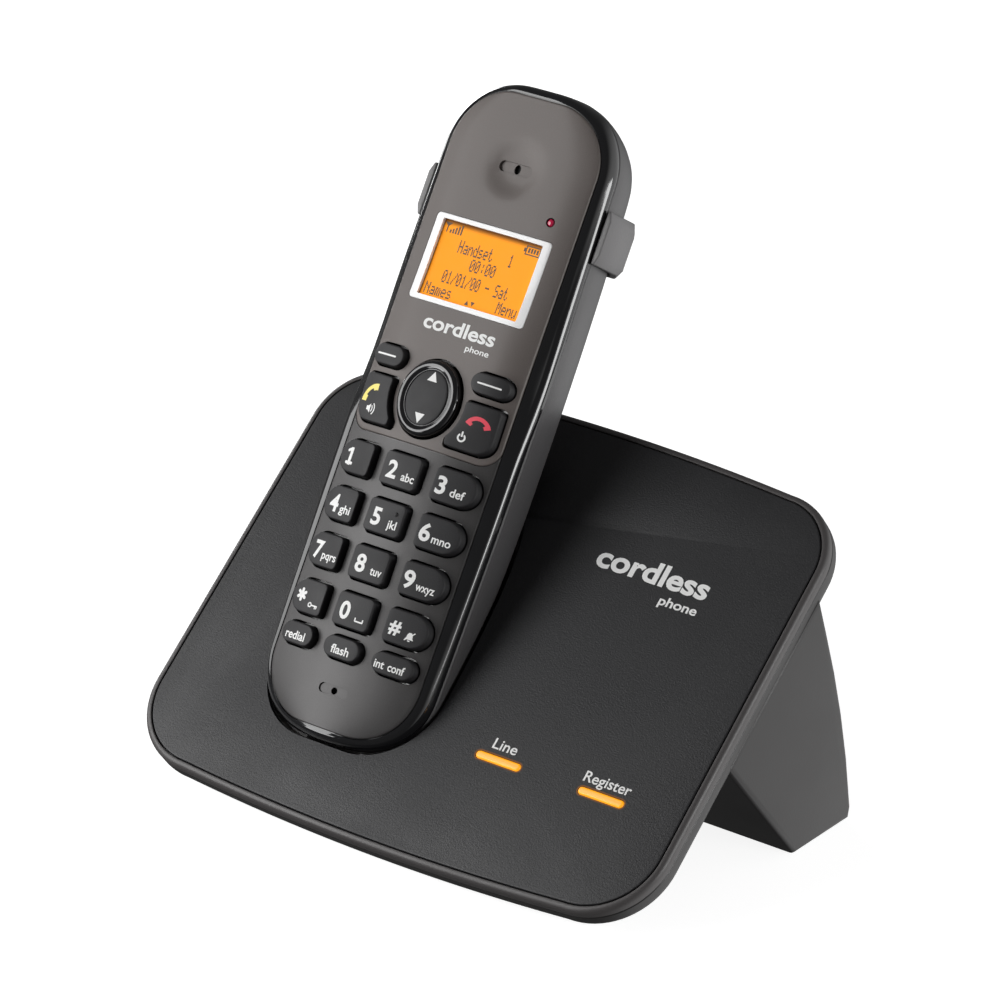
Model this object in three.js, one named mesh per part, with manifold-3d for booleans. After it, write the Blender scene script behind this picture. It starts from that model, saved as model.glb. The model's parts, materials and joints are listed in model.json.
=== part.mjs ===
// Cordless telephone: a handset standing in the sloping plate of its charging base.
// Millimetres. The group is +Z up with X to the right and -Y towards the user. Its origin lies on the
// table, under the middle of the object's bounding box.
//
// Two tilted frames hold nearly everything:
//   plate frame    x across, y up the slope of the plate, z out of the plate's face
//   handset frame  x across, y from microphone to earpiece, z out of the keypad's face
import * as THREE from 'three';
import { mergeVertices } from 'three/addons/utils/BufferGeometryUtils.js';
import Module from 'manifold-3d';

const wasm = await Module();
wasm.setup();

// ---------------------------------------------------------------- driving dimensions
const GAP = 0.3; // clearance between pieces that touch in the real object
const FAR = 60; // longer than any cut needs to be

const PLATE = {
  tilt: 37.4, // degrees from the table
  lipHeight: 9.5, // height of the face's front edge above the table
  front: -4.7, // middle of the front edge, and of the rear edge below
  rear: 112,
  frontCorner: { x: 55.2, y: 16.5, radius: 19 },
  rearCorner: { x: 55.9, y: 92.6, radius: 17 },
  parting: -2.7, // the top cover ends here
  underside: -7,
  floor: 1.8, // thickness of the bottom housing under the plate
  rim: 1.6, // width of the rounded rim round the inset panel
  panel: 1.2, // thickness of the inset panel
};

const LEG = {
  halfAtPlate: 74.1,
  halfAtFoot: 77.4,
  footDepth: 52, // how far below the plate's face the half width at the foot is reached
  wall: 2.2,
  footHeight: 1, // rubber feet lift the leg this far
};

const HANDSET = {
  centre: -22.9, // of its middle plane, left of the plate's
  tilt: 56.4, // degrees from the table
  seatY: 16.6, // where its face starts, up the plate
  seatZ: 4, // height of that point over the plate
  low: -2.2,
  high: 158.4,
  half: 23.3,
  corner: 17,
  rim: 2.2, // rounded rim outside the face
  rimDepth: 2.6,
  shoulder: 2, // width of the turn from the face into the side
  edge: -3, // height of the face at the rim
  parting: -7.3, // front and back housing meet
  back: -25,
  topBend: 136, // from here the back curls forward
  topLand: 1.2, // what is left of the back's height at the very top
  wall: 2.2,
};

const FACEPLATE = { bottom: 69.7, half: 21.1, cornerLow: 5, thickness: 1.2 };
const KEYS = {
  rise: 2,
  flange: 0.8,
  flangeTop: 2.5, // depths of the flange below the face
  flangeBottom: 3.4,
  flangeReach: 18.5, // the flanges stop here, short of the housing's sides
  hole: 0.45,
  travel: 0.9,
};
const NAV = {
  y: 81,
  rx: 8.3,
  ry: 9.3,
  innerX: 5.6,
  innerY: 6.8,
  rise: 2.4,
  depth: 0.7, // of the matte disc let into its top
  flangeTop: 2.9, // lower than the other keys' flanges, because this key rocks
  flangeBottom: 3.7,
};
const WINDOW = { half: 16.55, low: 102.8, high: 124.1, top: -0.9, bottom: -2.5 };
const BATTERY = { radius: 5.25, length: 44.5, x: 5.8, low: 50, z: -16.9 };
const DOOR = { half: 15.2, low: 42.3, high: 91.7, thickness: 1.8 };
const CLIP = { low: 122.5, high: 135.5, front: -5, slope: 12, tongueLow: 95.5, tongueHalf: 9, lipHalf: 6 };
// The jacks stand on their board in the leg. Heights are over the table.
const JACKS = {
  boardTop: 13.8,
  boardThickness: 1.6,
  ethernet: { x: 0, half: 8, front: 61, back: 81, height: 13.4, socketHalf: 6 },
  power: { x: 19, half: 4.5, front: 67, back: 81.3, height: 11, bore: 3.1, pin: 1 },
  button: { x: -21, z: 21, radius: 3.2, flange: 4.6 },
};

// ---------------------------------------------------------------- materials
function plastic(color, roughness, metalness = 0) {
  return new THREE.MeshStandardMaterial({ color, roughness, metalness });
}

const finish = {
  matteBlack: () => plastic(0x232224, 0.62),
  satinBlack: () => plastic(0x2b2a2b, 0.45),
  glossBlack: () => plastic(0x111113, 0.12),
  taupe: () => plastic(0x6f6864, 0.28, 0.35),
  rubberGrey: () => plastic(0x3c3b3d, 0.6),
  whiteFrame: () => plastic(0xe8e8e8, 0.3),
  lcd: () => plastic(0xf6a83c, 0.3),
  amber: () => plastic(0xffb43a, 0.25),
  crimson: () => plastic(0xa5123a, 0.2),
  board: () => plastic(0x1f5a34, 0.5),
  steel: () => plastic(0xb9bbbf, 0.3, 0.9),
  darkMetal: () => plastic(0x55565a, 0.4, 0.8),
  cellWrap: () => plastic(0x3f7d4c, 0.4),
  rubberBlack: () => plastic(0x151515, 0.85),
};

// ---------------------------------------------------------------- solids
function toSolid(geometry) {
  const bare = geometry.clone();
  bare.deleteAttribute('normal');
  bare.deleteAttribute('uv');
  const merged = mergeVertices(bare, 1e-4);
  return new wasm.Manifold(new wasm.Mesh({
    numProp: 3,
    vertProperties: new Float32Array(merged.attributes.position.array),
    triVerts: new Uint32Array(merged.index.array),
  }));
}

function toMesh(name, solid, material) {
  const { vertProperties, triVerts } = solid.getMesh();
  const geometry = new THREE.BufferGeometry();
  geometry.setAttribute('position', new THREE.BufferAttribute(new Float32Array(vertProperties), 3));
  geometry.setIndex(new THREE.BufferAttribute(new Uint32Array(triVerts), 1));
  geometry.computeVertexNormals();
  const mesh = new THREE.Mesh(geometry, material);
  mesh.name = name;
  return mesh;
}

// Closed body through rings with equal point counts, each counter-clockwise seen from the last ring.
function loft(rings) {
  const count = rings[0].length;
  const last = (rings.length - 1) * count;
  const index = [];
  for (let ring = 0; ring < rings.length - 1; ring += 1) {
    for (let i = 0; i < count; i += 1) {
      const a = ring * count + i;
      const b = ring * count + ((i + 1) % count);
      index.push(a, b, b + count, a, b + count, a + count);
    }
  }
  for (let i = 1; i < count - 1; i += 1) {
    index.push(0, i + 1, i, last, last + i, last + i + 1);
  }
  const geometry = new THREE.BufferGeometry();
  const places = rings.flat().flatMap((p) => [p.x, p.y, p.z]);
  geometry.setAttribute('position', new THREE.Float32BufferAttribute(places, 3));
  geometry.setIndex(index);
  return toSolid(geometry);
}

function prism(outline, low, high) {
  const shape = new THREE.Shape(outline);
  const geometry = new THREE.ExtrudeGeometry(shape, { depth: high - low, bevelEnabled: false });
  return toSolid(geometry.translate(0, 0, low));
}

function box(low, high) {
  const size = high.map((value, i) => value - low[i]);
  const middle = high.map((value, i) => (value + low[i]) / 2);
  return toSolid(new THREE.BoxGeometry(...size).translate(...middle));
}

// Cylinder along z.
function rod(x, y, radius, low, high, sides = 16) {
  const geometry = new THREE.CylinderGeometry(radius, radius, high - low, sides);
  return toSolid(geometry.rotateX(Math.PI / 2).translate(x, y, (low + high) / 2));
}

function shifted(solid, x, y, z) {
  return solid.transform(new THREE.Matrix4().makeTranslation(x, y, z).elements);
}

function mirrored(outline) {
  return outline.map((p) => new THREE.Vector2(-p.x, p.y)).reverse();
}

function arc(cx, cy, radius, from, to, steps) {
  const points = [];
  for (let i = 0; i <= steps; i += 1) {
    const angle = THREE.MathUtils.degToRad(THREE.MathUtils.lerp(from, to, i / steps));
    points.push(new THREE.Vector2(cx + radius * Math.cos(angle), cy + radius * Math.sin(angle)));
  }
  return points;
}

// Corner radii run lower left, lower right, upper right, upper left.
function roundedRectangle(left, right, low, high, [r1, r2, r3, r4], steps = 2) {
  return [
    ...arc(left + r1, low + r1, r1, 180, 270, steps),
    ...arc(right - r2, low + r2, r2, 270, 360, steps),
    ...arc(right - r3, high - r3, r3, 0, 90, steps),
    ...arc(left + r4, high - r4, r4, 90, 180, steps),
  ];
}

function ellipse(cx, cy, rx, ry, sides) {
  const points = new THREE.EllipseCurve(cx, cy, rx, ry, 0, 2 * Math.PI).getPoints(sides);
  return points.slice(0, sides);
}

// Value at x of the straight lines through pairs [x, value].
function along(table, x) {
  const next = table.findIndex(([place]) => place >= x);
  if (next === 0) return table[0][1];
  if (next < 0) return table[table.length - 1][1];
  const [x0, y0] = table[next - 1];
  const [x1, y1] = table[next];
  return THREE.MathUtils.mapLinear(x, x0, x1, y0, y1);
}

// ---------------------------------------------------------------- frames
const object = new THREE.Group();
const plateGroup = new THREE.Group();
plateGroup.position.set(0, 0, PLATE.lipHeight);
plateGroup.rotation.x = THREE.MathUtils.degToRad(PLATE.tilt);

const handsetGroup = new THREE.Group();
handsetGroup.position.set(HANDSET.centre, HANDSET.seatY, HANDSET.seatZ);
handsetGroup.rotation.x = THREE.MathUtils.degToRad(HANDSET.tilt - PLATE.tilt);
handsetGroup.updateMatrix();
plateGroup.updateMatrix();
const tableToPlate = plateGroup.matrix.clone().invert();

function handsetInPlate(solid) {
  return solid.transform(handsetGroup.matrix.elements);
}

function tableInPlate(solid) {
  return solid.transform(tableToPlate.elements);
}

// ---------------------------------------------------------------- handset body
// Height of the face along the middle, and depth of the back, at a place along the handset.
const CROWN = [[-2.2, 0], [30, 0.9], [70, 1.4], [95, 0.4], [113, -0.6], [158.4, -1.2]];
const BACK = [[-2.2, -13], [2, -17], [10, -20], [45, HANDSET.back], [118, HANDSET.back], [136, -24]];
const FLATNESS = [[70, 2], [95, 5]]; // exponent of the face's fall towards its rims
// Points of the side and of the belly: how far in from the full width, and share of the way down.
const SIDE = [[0.6, 0.3], [0, 0.65], [0, 1]];
const BELLY = [[1.2, 0.55], [4.4, 0.88], [9, 1]];

function backDepth(y) {
  if (y < HANDSET.topBend) return along(BACK, y);
  const curl = (y - HANDSET.topBend) / (HANDSET.high - HANDSET.topBend);
  const depth = along(BACK, HANDSET.topBend) - HANDSET.parting;
  const land = HANDSET.topLand;
  return HANDSET.parting - land + (depth + land) * Math.sqrt(Math.max(0, 1 - curl ** 2));
}

function rimDrop(distance) {
  const inside = THREE.MathUtils.clamp(distance, 0, HANDSET.rim) / HANDSET.rim;
  return HANDSET.rimDepth * (1 - Math.sqrt(1 - (1 - inside) ** 2));
}

// Half width of the handset at a place along it, shrunk by inset.
function handsetHalf(y, inset) {
  const cornerLow = HANDSET.low + HANDSET.corner;
  const cornerHigh = HANDSET.high - HANDSET.corner;
  const overrun = Math.max(cornerLow - y, y - cornerHigh, 0);
  const round = HANDSET.corner - inset;
  return HANDSET.half - HANDSET.corner + Math.sqrt(Math.max(0, round ** 2 - overrun ** 2));
}

// One cross-section of the handset, shrunk by inset (a negative inset grows it).
function handsetSection(y, inset) {
  const half = handsetHalf(y, inset);
  const scale = Math.min(1, half / HANDSET.half);
  const inside = THREE.MathUtils.clamp(y, HANDSET.low, HANDSET.high);
  const drop = rimDrop(Math.min(inside - HANDSET.low, HANDSET.high - inside) + inset) + inset;
  const middle = along(CROWN, inside) - drop;
  const fall = along(CROWN, inside) - HANDSET.edge;
  const power = along(FLATNESS, inside);
  const fullHalf = handsetHalf(inside, 0);
  const fullFace = fullHalf - HANDSET.shoulder * Math.min(1, fullHalf / HANDSET.half);
  const height = (x) => middle - fall * Math.min(x / fullFace, 1.1) ** power;
  const face = half - HANDSET.shoulder * scale;
  const edge = height(face);
  const rear = backDepth(inside) + inset;
  const between = (from, to) => ([back, share]) => [
    half - back * scale,
    THREE.MathUtils.lerp(from, to, share),
  ];
  const right = [
    [face * 0.55, height(face * 0.55)],
    [face, edge],
    ...SIDE.map(between(edge, HANDSET.parting)),
    ...BELLY.map(between(HANDSET.parting, rear)),
  ];
  const left = right.map(([x, z]) => [-x, z]).reverse();
  const ring = [[0, middle], ...right, [0, rear], ...left];
  return ring.map(([x, z]) => new THREE.Vector3(x, y, z));
}

function handsetBody(inset) {
  const round = HANDSET.corner - inset;
  const cornerLow = HANDSET.low + HANDSET.corner;
  const cornerHigh = HANDSET.high - HANDSET.corner;
  const degrees = [90, 68, 46, 22, 0];
  const reach = degrees.map((angle) => round * Math.sin(THREE.MathUtils.degToRad(angle)));
  const stations = [
    ...reach.map((distance) => cornerLow - distance),
    45, 70, 95, 113,
    HANDSET.topBend,
    ...reach.map((distance) => cornerHigh + distance).reverse(),
  ];
  return loft(stations.map((y) => handsetSection(y, inset)));
}

// Outline of the handset seen from the front, shrunk by inset.
function handsetOutline(inset, low = HANDSET.low, high = HANDSET.high) {
  const half = HANDSET.half - inset;
  const radius = HANDSET.corner - inset;
  return roundedRectangle(-half, half, low + inset, high - inset, Array(4).fill(radius), 4);
}

const body = handsetBody(0);
const bodyInside = handsetBody(HANDSET.wall);
const bodyAt = (height) => shifted(body, 0, 0, height);

// The layer of the handset between two depths below its face, inside an outline.
function faceLayer(outline, top, bottom) {
  return prism(outline, -FAR, FAR).intersect(bodyAt(-top)).subtract(bodyAt(-bottom));
}

function backLayer(outline, thickness) {
  return prism(outline, -FAR, -HANDSET.wall).intersect(body).subtract(bodyAt(thickness));
}

// ---------------------------------------------------------------- keys
const PAD = {
  rowTop: 63, // middle of the first row
  pitch: 11.5,
  height: 8.3,
  middleHalf: 5.3,
  sideNear: 8.9,
  sideFar: 20.1,
  corner: 1.4,
};
const PILLS = {
  key_redial: { x: -13.9, y: 19.5, width: 10.4, height: 5.4 },
  key_flash: { x: 0, y: 19.5, width: 10.4, height: 5.4 },
  key_conference: { x: 13.9, y: 19.5, width: 10.8, height: 5.4 },
  softkey_left: { x: -14.7, y: 88.1, width: 10, height: 5.2 },
  softkey_right: { x: 14.7, y: 88.1, width: 10, height: 5.2 },
};
const CALL = { low: 71.7, high: 83.4, outer: 20.3, round: 4, corner: 1.4, hug: 11.8 };

function padKeyOutline(column, row, grow = 0) {
  const { corner, middleHalf, sideNear, sideFar } = PAD;
  const y = PAD.rowTop - row * PAD.pitch;
  const end = PAD.height / 2 + grow;
  if (column === 0) {
    const half = middleHalf + grow;
    return roundedRectangle(-half, half, y - end, y + end, [corner, corner, corner, corner]);
  }
  const radii = [corner, end, end, corner];
  const right = roundedRectangle(sideNear - grow, sideFar + grow, y - end, y + end, radii, 3);
  return column > 0 ? right : mirrored(right);
}

function pillOutline({ x, y, width, height }, grow = 0) {
  const radius = height / 2 + grow - 0.01;
  const halfWidth = width / 2 + grow;
  const halfHeight = height / 2 + grow;
  const radii = [radius, radius, radius, radius];
  return roundedRectangle(x - halfWidth, x + halfWidth, y - halfHeight, y + halfHeight, radii, 3);
}

// Call keys hug the navigation key: their inner edge is an arc about its centre. That edge's flange is no
// wider than the hole, which leaves the navigation key's own flange room to rock.
function callKeyOutline(side, grow = 0) {
  const { corner, round } = CALL;
  const low = CALL.low - grow;
  const high = CALL.high + grow;
  const outer = CALL.outer + grow;
  const hug = CALL.hug - Math.min(grow, KEYS.hole);
  const inner = [high - 0.8, NAV.y, NAV.y - 2.5, NAV.y - 5, low + 2.6].map((y) => {
    const x = Math.sqrt(Math.max(0, hug ** 2 - (y - NAV.y) ** 2));
    return new THREE.Vector2(x - corner, y);
  });
  const foot = inner[inner.length - 1].x;
  const right = [
    ...inner,
    new THREE.Vector2(foot - 0.2, low + 1),
    new THREE.Vector2(foot + 0.9, low),
    ...arc(outer - round, low + round, round, 270, 360, 3),
    ...arc(outer - corner, high - corner, corner, 0, 90, 1),
    new THREE.Vector2(inner[0].x + 0.9, high),
  ];
  return side > 0 ? right : mirrored(right);
}

const navOutline = (grow = 0) => ellipse(0, NAV.y, NAV.rx + grow, NAV.ry + grow, 20);
const navInner = (grow = 0) => ellipse(0, NAV.y, NAV.innerX + grow, NAV.innerY + grow, 16);

const keyOutlines = {};
const padNames = [['1', '2', '3'], ['4', '5', '6'], ['7', '8', '9'], ['star', '0', 'hash']];
padNames.forEach((names, row) => names.forEach((name, i) => {
  keyOutlines[`key_${name}`] = (grow) => padKeyOutline(i - 1, row, grow);
}));
for (const [name, pill] of Object.entries(PILLS)) {
  keyOutlines[name] = (grow) => pillOutline(pill, grow);
}
keyOutlines.talk_key = (grow) => callKeyOutline(-1, grow);
keyOutlines.end_key = (grow) => callKeyOutline(1, grow);

// A cap that follows the face's curve, with a flange that keeps it inside the housing.
function keySolid(outline, rise, flangeTop = KEYS.flangeTop, flangeBottom = KEYS.flangeBottom) {
  const cap = prism(outline(0), -FAR, FAR).intersect(bodyAt(rise));
  const reach = box([-KEYS.flangeReach, -FAR, -FAR], [KEYS.flangeReach, 3 * FAR, FAR]);
  const flange = prism(outline(KEYS.flange), -FAR, FAR).intersect(bodyAt(-flangeTop)).intersect(reach);
  return cap.add(flange).subtract(bodyAt(-flangeBottom));
}

function addKeys(group) {
  for (const [name, outline] of Object.entries(keyOutlines)) {
    group.add(toMesh(name, keySolid(outline, KEYS.rise), finish.rubberGrey()));
  }
}

function addNavigationKey(group) {
  const dish = faceLayer(navInner(GAP), -NAV.rise - 1, -NAV.rise + NAV.depth + GAP);
  const rocker = keySolid(navOutline, NAV.rise, NAV.flangeTop, NAV.flangeBottom).subtract(dish);
  group.add(toMesh('nav_key', rocker, finish.glossBlack()));
  const disc = faceLayer(navInner(), -NAV.rise, -NAV.rise + NAV.depth);
  group.add(toMesh('nav_disc', disc, finish.rubberGrey()));
}

// ---------------------------------------------------------------- handset housings
const SCREW = { x: 16.2, y: 97, post: 2.8, bore: 1.3, shank: 1, head: 2.2, seat: -15.5, joint: -11 };
const EAR = { y: 138.5, hole: 0.9 };
const MICROPHONE = { y: 9.7, hole: 0.9 };
const LED = { x: 14.1, y: 128.6, radius: 1.3, low: -8.4 };
const SPEAKER_SLOTS = { count: 4, y: 104, pitch: 4, half: 6, width: 1.4, top: -20 };
const RECEIVER = { radius: 9.5, low: -8.4, high: -4.6 };
const CAPSULE = { radius: 2.8, low: -8.6, high: -5.4 };
const SPEAKER = { y: 110, radius: 12.5, low: -22.3, high: -16.5 };
const BOARD = { inset: 3.6, high: 152, low: -10.3, top: -8.9 };
const MEMBRANE = { half: 19, low: 14, high: 93, thickness: 0.8 };
const LCD = { half: 15.5, inset: 0.8, low: -7.6 };

function faceplateOutline(inset = 0) {
  const half = FACEPLATE.half - inset;
  const top = HANDSET.high - HANDSET.rim - 0.6 - inset;
  const radii = [FACEPLATE.cornerLow, FACEPLATE.cornerLow, 14.6, 14.6].map((r) => r - inset);
  return roundedRectangle(-half, half, FACEPLATE.bottom + inset, top, radii, 4);
}

function windowOutline(grow = 0) {
  const half = WINDOW.half + grow;
  return roundedRectangle(-half, half, WINDOW.low - grow, WINDOW.high + grow, [1, 1, 1, 1], 2);
}

// Everything that passes through the face.
function faceHoles() {
  const holes = [
    prism(windowOutline(GAP), -HANDSET.wall * 3, FAR),
    prism(navOutline(KEYS.hole), -FAR, FAR),
    rod(0, EAR.y, EAR.hole, -FAR, FAR, 8),
    rod(0, MICROPHONE.y, MICROPHONE.hole, -FAR, FAR, 8),
    rod(LED.x, LED.y, LED.radius + GAP, -FAR, FAR, 10),
    ...Object.values(keyOutlines).map((outline) => prism(outline(KEYS.hole), -FAR, FAR)),
  ];
  return wasm.Manifold.union(holes);
}

function addFrontHousing(group, holes) {
  const recess = faceLayer(faceplateOutline(-GAP), -1, FACEPLATE.thickness + GAP);
  let shell = body.subtract(bodyInside);
  shell = shell.intersect(box([-FAR, -FAR, HANDSET.parting], [FAR, 4 * FAR, FAR]));
  for (const side of [-1, 1]) {
    const post = rod(side * SCREW.x, SCREW.y, SCREW.post, SCREW.joint, -HANDSET.wall, 14).intersect(body);
    shell = shell.add(post).subtract(rod(side * SCREW.x, SCREW.y, SCREW.bore, -12, -6.5, 12));
  }
  shell = shell.subtract(recess).subtract(holes);
  group.add(toMesh('handset_front_housing', shell, finish.satinBlack()));
}

function addFaceplate(group, holes) {
  const plate = faceLayer(faceplateOutline(), 0, FACEPLATE.thickness);
  group.add(toMesh('handset_faceplate', plate.subtract(holes), finish.taupe()));
}

function addDisplay(group) {
  const window = prism(windowOutline(), WINDOW.bottom, WINDOW.top);
  group.add(toMesh('display_window', window, finish.whiteFrame()));
  const low = [-LCD.half, WINDOW.low + LCD.inset, LCD.low];
  const high = [LCD.half, WINDOW.high - LCD.inset, WINDOW.bottom - GAP];
  group.add(toMesh('lcd_module', box(low, high), finish.lcd()));
  const lens = rod(LED.x, LED.y, LED.radius, LED.low, FAR, 10).intersect(bodyAt(-0.1));
  group.add(toMesh('message_led', lens, finish.crimson()));
}

const CONTACT = { x: 7, low: 5, high: 10, half: 2.2, thickness: 0.9 };

function contactOutline(side, grow = 0) {
  const { x, low, high, half } = CONTACT;
  const middle = side * x;
  const radii = [0.4, 0.4, 0.4, 0.4];
  return roundedRectangle(middle - half - grow, middle + half + grow, low - grow, high + grow, radii, 1);
}

const doorOutline = (grow) => roundedRectangle(
  -DOOR.half - grow,
  DOOR.half + grow,
  DOOR.low - grow,
  DOOR.high + grow,
  [3, 3, 3, 3],
);

function addBackHousing(group) {
  let shell = body.subtract(bodyInside);
  shell = shell.intersect(box([-FAR, -FAR, -FAR], [FAR, 4 * FAR, HANDSET.parting - GAP]));
  shell = shell.subtract(prism(doorOutline(GAP), -FAR, -16));
  for (const side of [-1, 1]) {
    const x = side * SCREW.x;
    const post = rod(x, SCREW.y, SCREW.post + 0.6, -24, SCREW.joint - GAP, 14).intersect(body);
    const counterbore = rod(x, SCREW.y, SCREW.head + GAP, -FAR, SCREW.seat, 14);
    shell = shell.add(post).subtract(counterbore);
    shell = shell.subtract(rod(x, SCREW.y, SCREW.bore, -FAR, 0, 12));
    const pad = prism(contactOutline(side, GAP), -FAR, -HANDSET.wall);
    shell = shell.subtract(pad.subtract(bodyAt(CONTACT.thickness + GAP)));
  }
  for (let slot = 0; slot < SPEAKER_SLOTS.count; slot += 1) {
    const { half, width, top } = SPEAKER_SLOTS;
    const y = SPEAKER_SLOTS.y + slot * SPEAKER_SLOTS.pitch;
    shell = shell.subtract(box([-half, y, -FAR], [half, y + width, top]));
  }
  group.add(toMesh('handset_back_housing', shell, finish.satinBlack()));
  group.add(toMesh('battery_door', backLayer(doorOutline(0), DOOR.thickness), finish.satinBlack()));
}

function addHandsetInside(group) {
  for (const [name, side] of [['left', -1], ['right', 1]]) {
    const cell = new THREE.CylinderGeometry(BATTERY.radius, BATTERY.radius, BATTERY.length, 20);
    cell.translate(side * BATTERY.x, BATTERY.low + BATTERY.length / 2, BATTERY.z);
    group.add(toMesh(`battery_${name}`, toSolid(cell), finish.cellWrap()));
    const pad = backLayer(contactOutline(side), CONTACT.thickness);
    group.add(toMesh(`handset_contact_${name}`, pad, finish.steel()));
    const head = rod(side * SCREW.x, SCREW.y, SCREW.head, SCREW.seat - 2, SCREW.seat - GAP, 14);
    const screw = head.add(rod(side * SCREW.x, SCREW.y, SCREW.shank, SCREW.seat - 1, -7, 12));
    group.add(toMesh(`handset_screw_${name}`, screw, finish.darkMetal()));
  }
  let board = prism(handsetOutline(BOARD.inset, HANDSET.low, BOARD.high), BOARD.low, BOARD.top);
  for (const side of [-1, 1]) {
    board = board.subtract(rod(side * SCREW.x, SCREW.y, SCREW.post + GAP, -FAR, FAR, 14));
  }
  group.add(toMesh('handset_pcb', board, finish.board()));
  const { half, low, high, thickness } = MEMBRANE;
  const pad = roundedRectangle(-half, half, low, high, [6, 6, 2, 2]);
  const top = KEYS.flangeBottom + KEYS.travel + GAP;
  group.add(toMesh('keypad_membrane', faceLayer(pad, top, top + thickness), finish.rubberGrey()));
  const receiver = rod(0, EAR.y, RECEIVER.radius, RECEIVER.low, RECEIVER.high, 20);
  group.add(toMesh('earpiece_receiver', receiver, finish.darkMetal()));
  const microphone = rod(0, MICROPHONE.y, CAPSULE.radius, CAPSULE.low, CAPSULE.high, 14);
  group.add(toMesh('microphone', microphone, finish.steel()));
  const speaker = rod(0, SPEAKER.y, SPEAKER.radius, SPEAKER.low, SPEAKER.high, 24);
  group.add(toMesh('loudspeaker', speaker, finish.darkMetal()));
}

// ---------------------------------------------------------------- belt clip
// Right half of the band seen from above: outside from the back to the arm's tip, then back inside.
const CLIP_BAND = [
  [20.5, -28], [26.4, -18], [26.4, CLIP.front], [24, CLIP.front], [24, -13], [22.6, -19], [19.2, -24],
  [15, -25.7],
];

function addBeltClip(group) {
  const { low, high, front, slope, tongueLow, tongueHalf, lipHalf } = CLIP;
  const right = CLIP_BAND.map(([x, z]) => new THREE.Vector2(x, z));
  const upright = new THREE.Matrix4().makeRotationX(Math.PI / 2);
  const band = prism([...right, ...mirrored(right)], -high, -low).transform(upright.elements);
  // The arms' top edges slope down towards the back.
  const above = toSolid(new THREE.BoxGeometry(80, 20, 60).translate(0, 10, -30));
  const lean = new THREE.Matrix4().makeRotationX(THREE.MathUtils.degToRad(slope));
  lean.premultiply(new THREE.Matrix4().makeTranslation(0, high, front));
  const neck = box([-lipHalf, low + 3, -30.4], [lipHalf, high - 4, -27]);
  const outline = roundedRectangle(-tongueHalf, tongueHalf, tongueLow, high - 3, [5, 5, 2, 2]);
  const tongue = prism(outline, -31.8, -30.2);
  const lip = box([-lipHalf, tongueLow + 1, -30.4], [lipHalf, tongueLow + 2.5, -29.2]);
  const clip = band.subtract(above.transform(lean.elements)).add(neck).add(tongue).add(lip);
  group.add(toMesh('belt_clip', clip, finish.satinBlack()));
}

// ---------------------------------------------------------------- base shells
const EDGE_STEPS = [-0.75, -0.5, -0.25, 0, 0.25, 0.5, 0.75];

// Seen from above the face. The front and rear edges bow out between the corner arcs.
function plateOutline(inset) {
  const { frontCorner: f, rearCorner: r, front, rear } = PLATE;
  const frontBow = f.y - f.radius - front;
  const rearBow = rear - r.y - r.radius;
  return [
    ...EDGE_STEPS.map((t) => new THREE.Vector2(t * f.x, front + frontBow * t ** 2 + inset)),
    ...arc(f.x, f.y, f.radius - inset, 272, 360, 6),
    ...arc(r.x, r.y, r.radius - inset, 0, 87, 6),
    ...EDGE_STEPS.map((t) => new THREE.Vector2(-t * r.x, rear - rearBow * t ** 2 - inset)),
    ...arc(-r.x, r.y, r.radius - inset, 93, 180, 6),
    ...arc(-f.x, f.y, f.radius - inset, 180, 268, 6),
  ];
}

// Slab built from layers [inset, height], lowest first.
function plateSlab(layers) {
  return loft(layers.map(([inset, z]) => plateOutline(inset).map((p) => new THREE.Vector3(p.x, p.y, z))));
}

// What the handset fills, grown by a clearance and swept out through the face of the plate.
function pocket(grow) {
  const sweep = prism(handsetOutline(-grow), -9, FAR);
  return handsetInPlate(handsetBody(-grow).add(sweep));
}

function halfSpaceBelow(z) {
  return box([-3 * FAR, -3 * FAR, -3 * FAR], [3 * FAR, 4 * FAR, z]);
}

const POCKET = { clearance: 0.8, wall: 1.8, bulgeGap: 0.5, bulgeWall: 1.8 };
const BARS = {
  network_light_bar: { x: 21.9, y: 25.4, width: 12.4, height: 1.9 },
  status_light_bar: { x: 50.6, y: 25.4, width: 12.4, height: 1.9 },
};
const BASE_SCREW = { x: 61, y: 14, post: 2.6, bore: 1.3, shank: 1, head: 2.7, thickness: 0.9, seat: -6 };
const PIN = { half: 1.2, low: 6.4, high: 8.6, bottom: -21.4, top: -15 };

// Space that each charge contact takes on its way up through the floor of the pocket.
function contactSlots(grow) {
  return [-1, 1].map((side) => {
    const x = side * CONTACT.x;
    const low = [x - PIN.half - grow, PIN.low - grow, PIN.bottom - grow];
    return box(low, [x + PIN.half + grow, PIN.high + grow, PIN.top]);
  });
}

function addTopCover(group, hollow) {
  const { parting, rim, panel } = PLATE;
  const floor = -panel - GAP;
  let cover = plateSlab([[0, parting], [0, -1], [0.25, -0.35], [0.8, 0]]);
  cover = cover.subtract(plateSlab([[rim, floor], [rim, 1]]));
  const cup = pocket(POCKET.clearance + POCKET.wall).intersect(halfSpaceBelow(floor - 0.2));
  cover = cover.add(cup).subtract(hollow);
  for (const bar of Object.values(BARS)) {
    cover = cover.subtract(prism(pillOutline(bar, GAP), -FAR, FAR));
  }
  for (const side of [-1, 1]) {
    const x = side * BASE_SCREW.x;
    cover = cover.add(rod(x, BASE_SCREW.y, BASE_SCREW.post, -5, floor - 0.5, 12));
    cover = cover.subtract(rod(x, BASE_SCREW.y, BASE_SCREW.bore, BASE_SCREW.seat, -2.4, 10));
  }
  for (const slot of contactSlots(GAP)) cover = cover.subtract(handsetInPlate(slot));
  group.add(toMesh('base_top_cover', cover, finish.satinBlack()));
}

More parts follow.
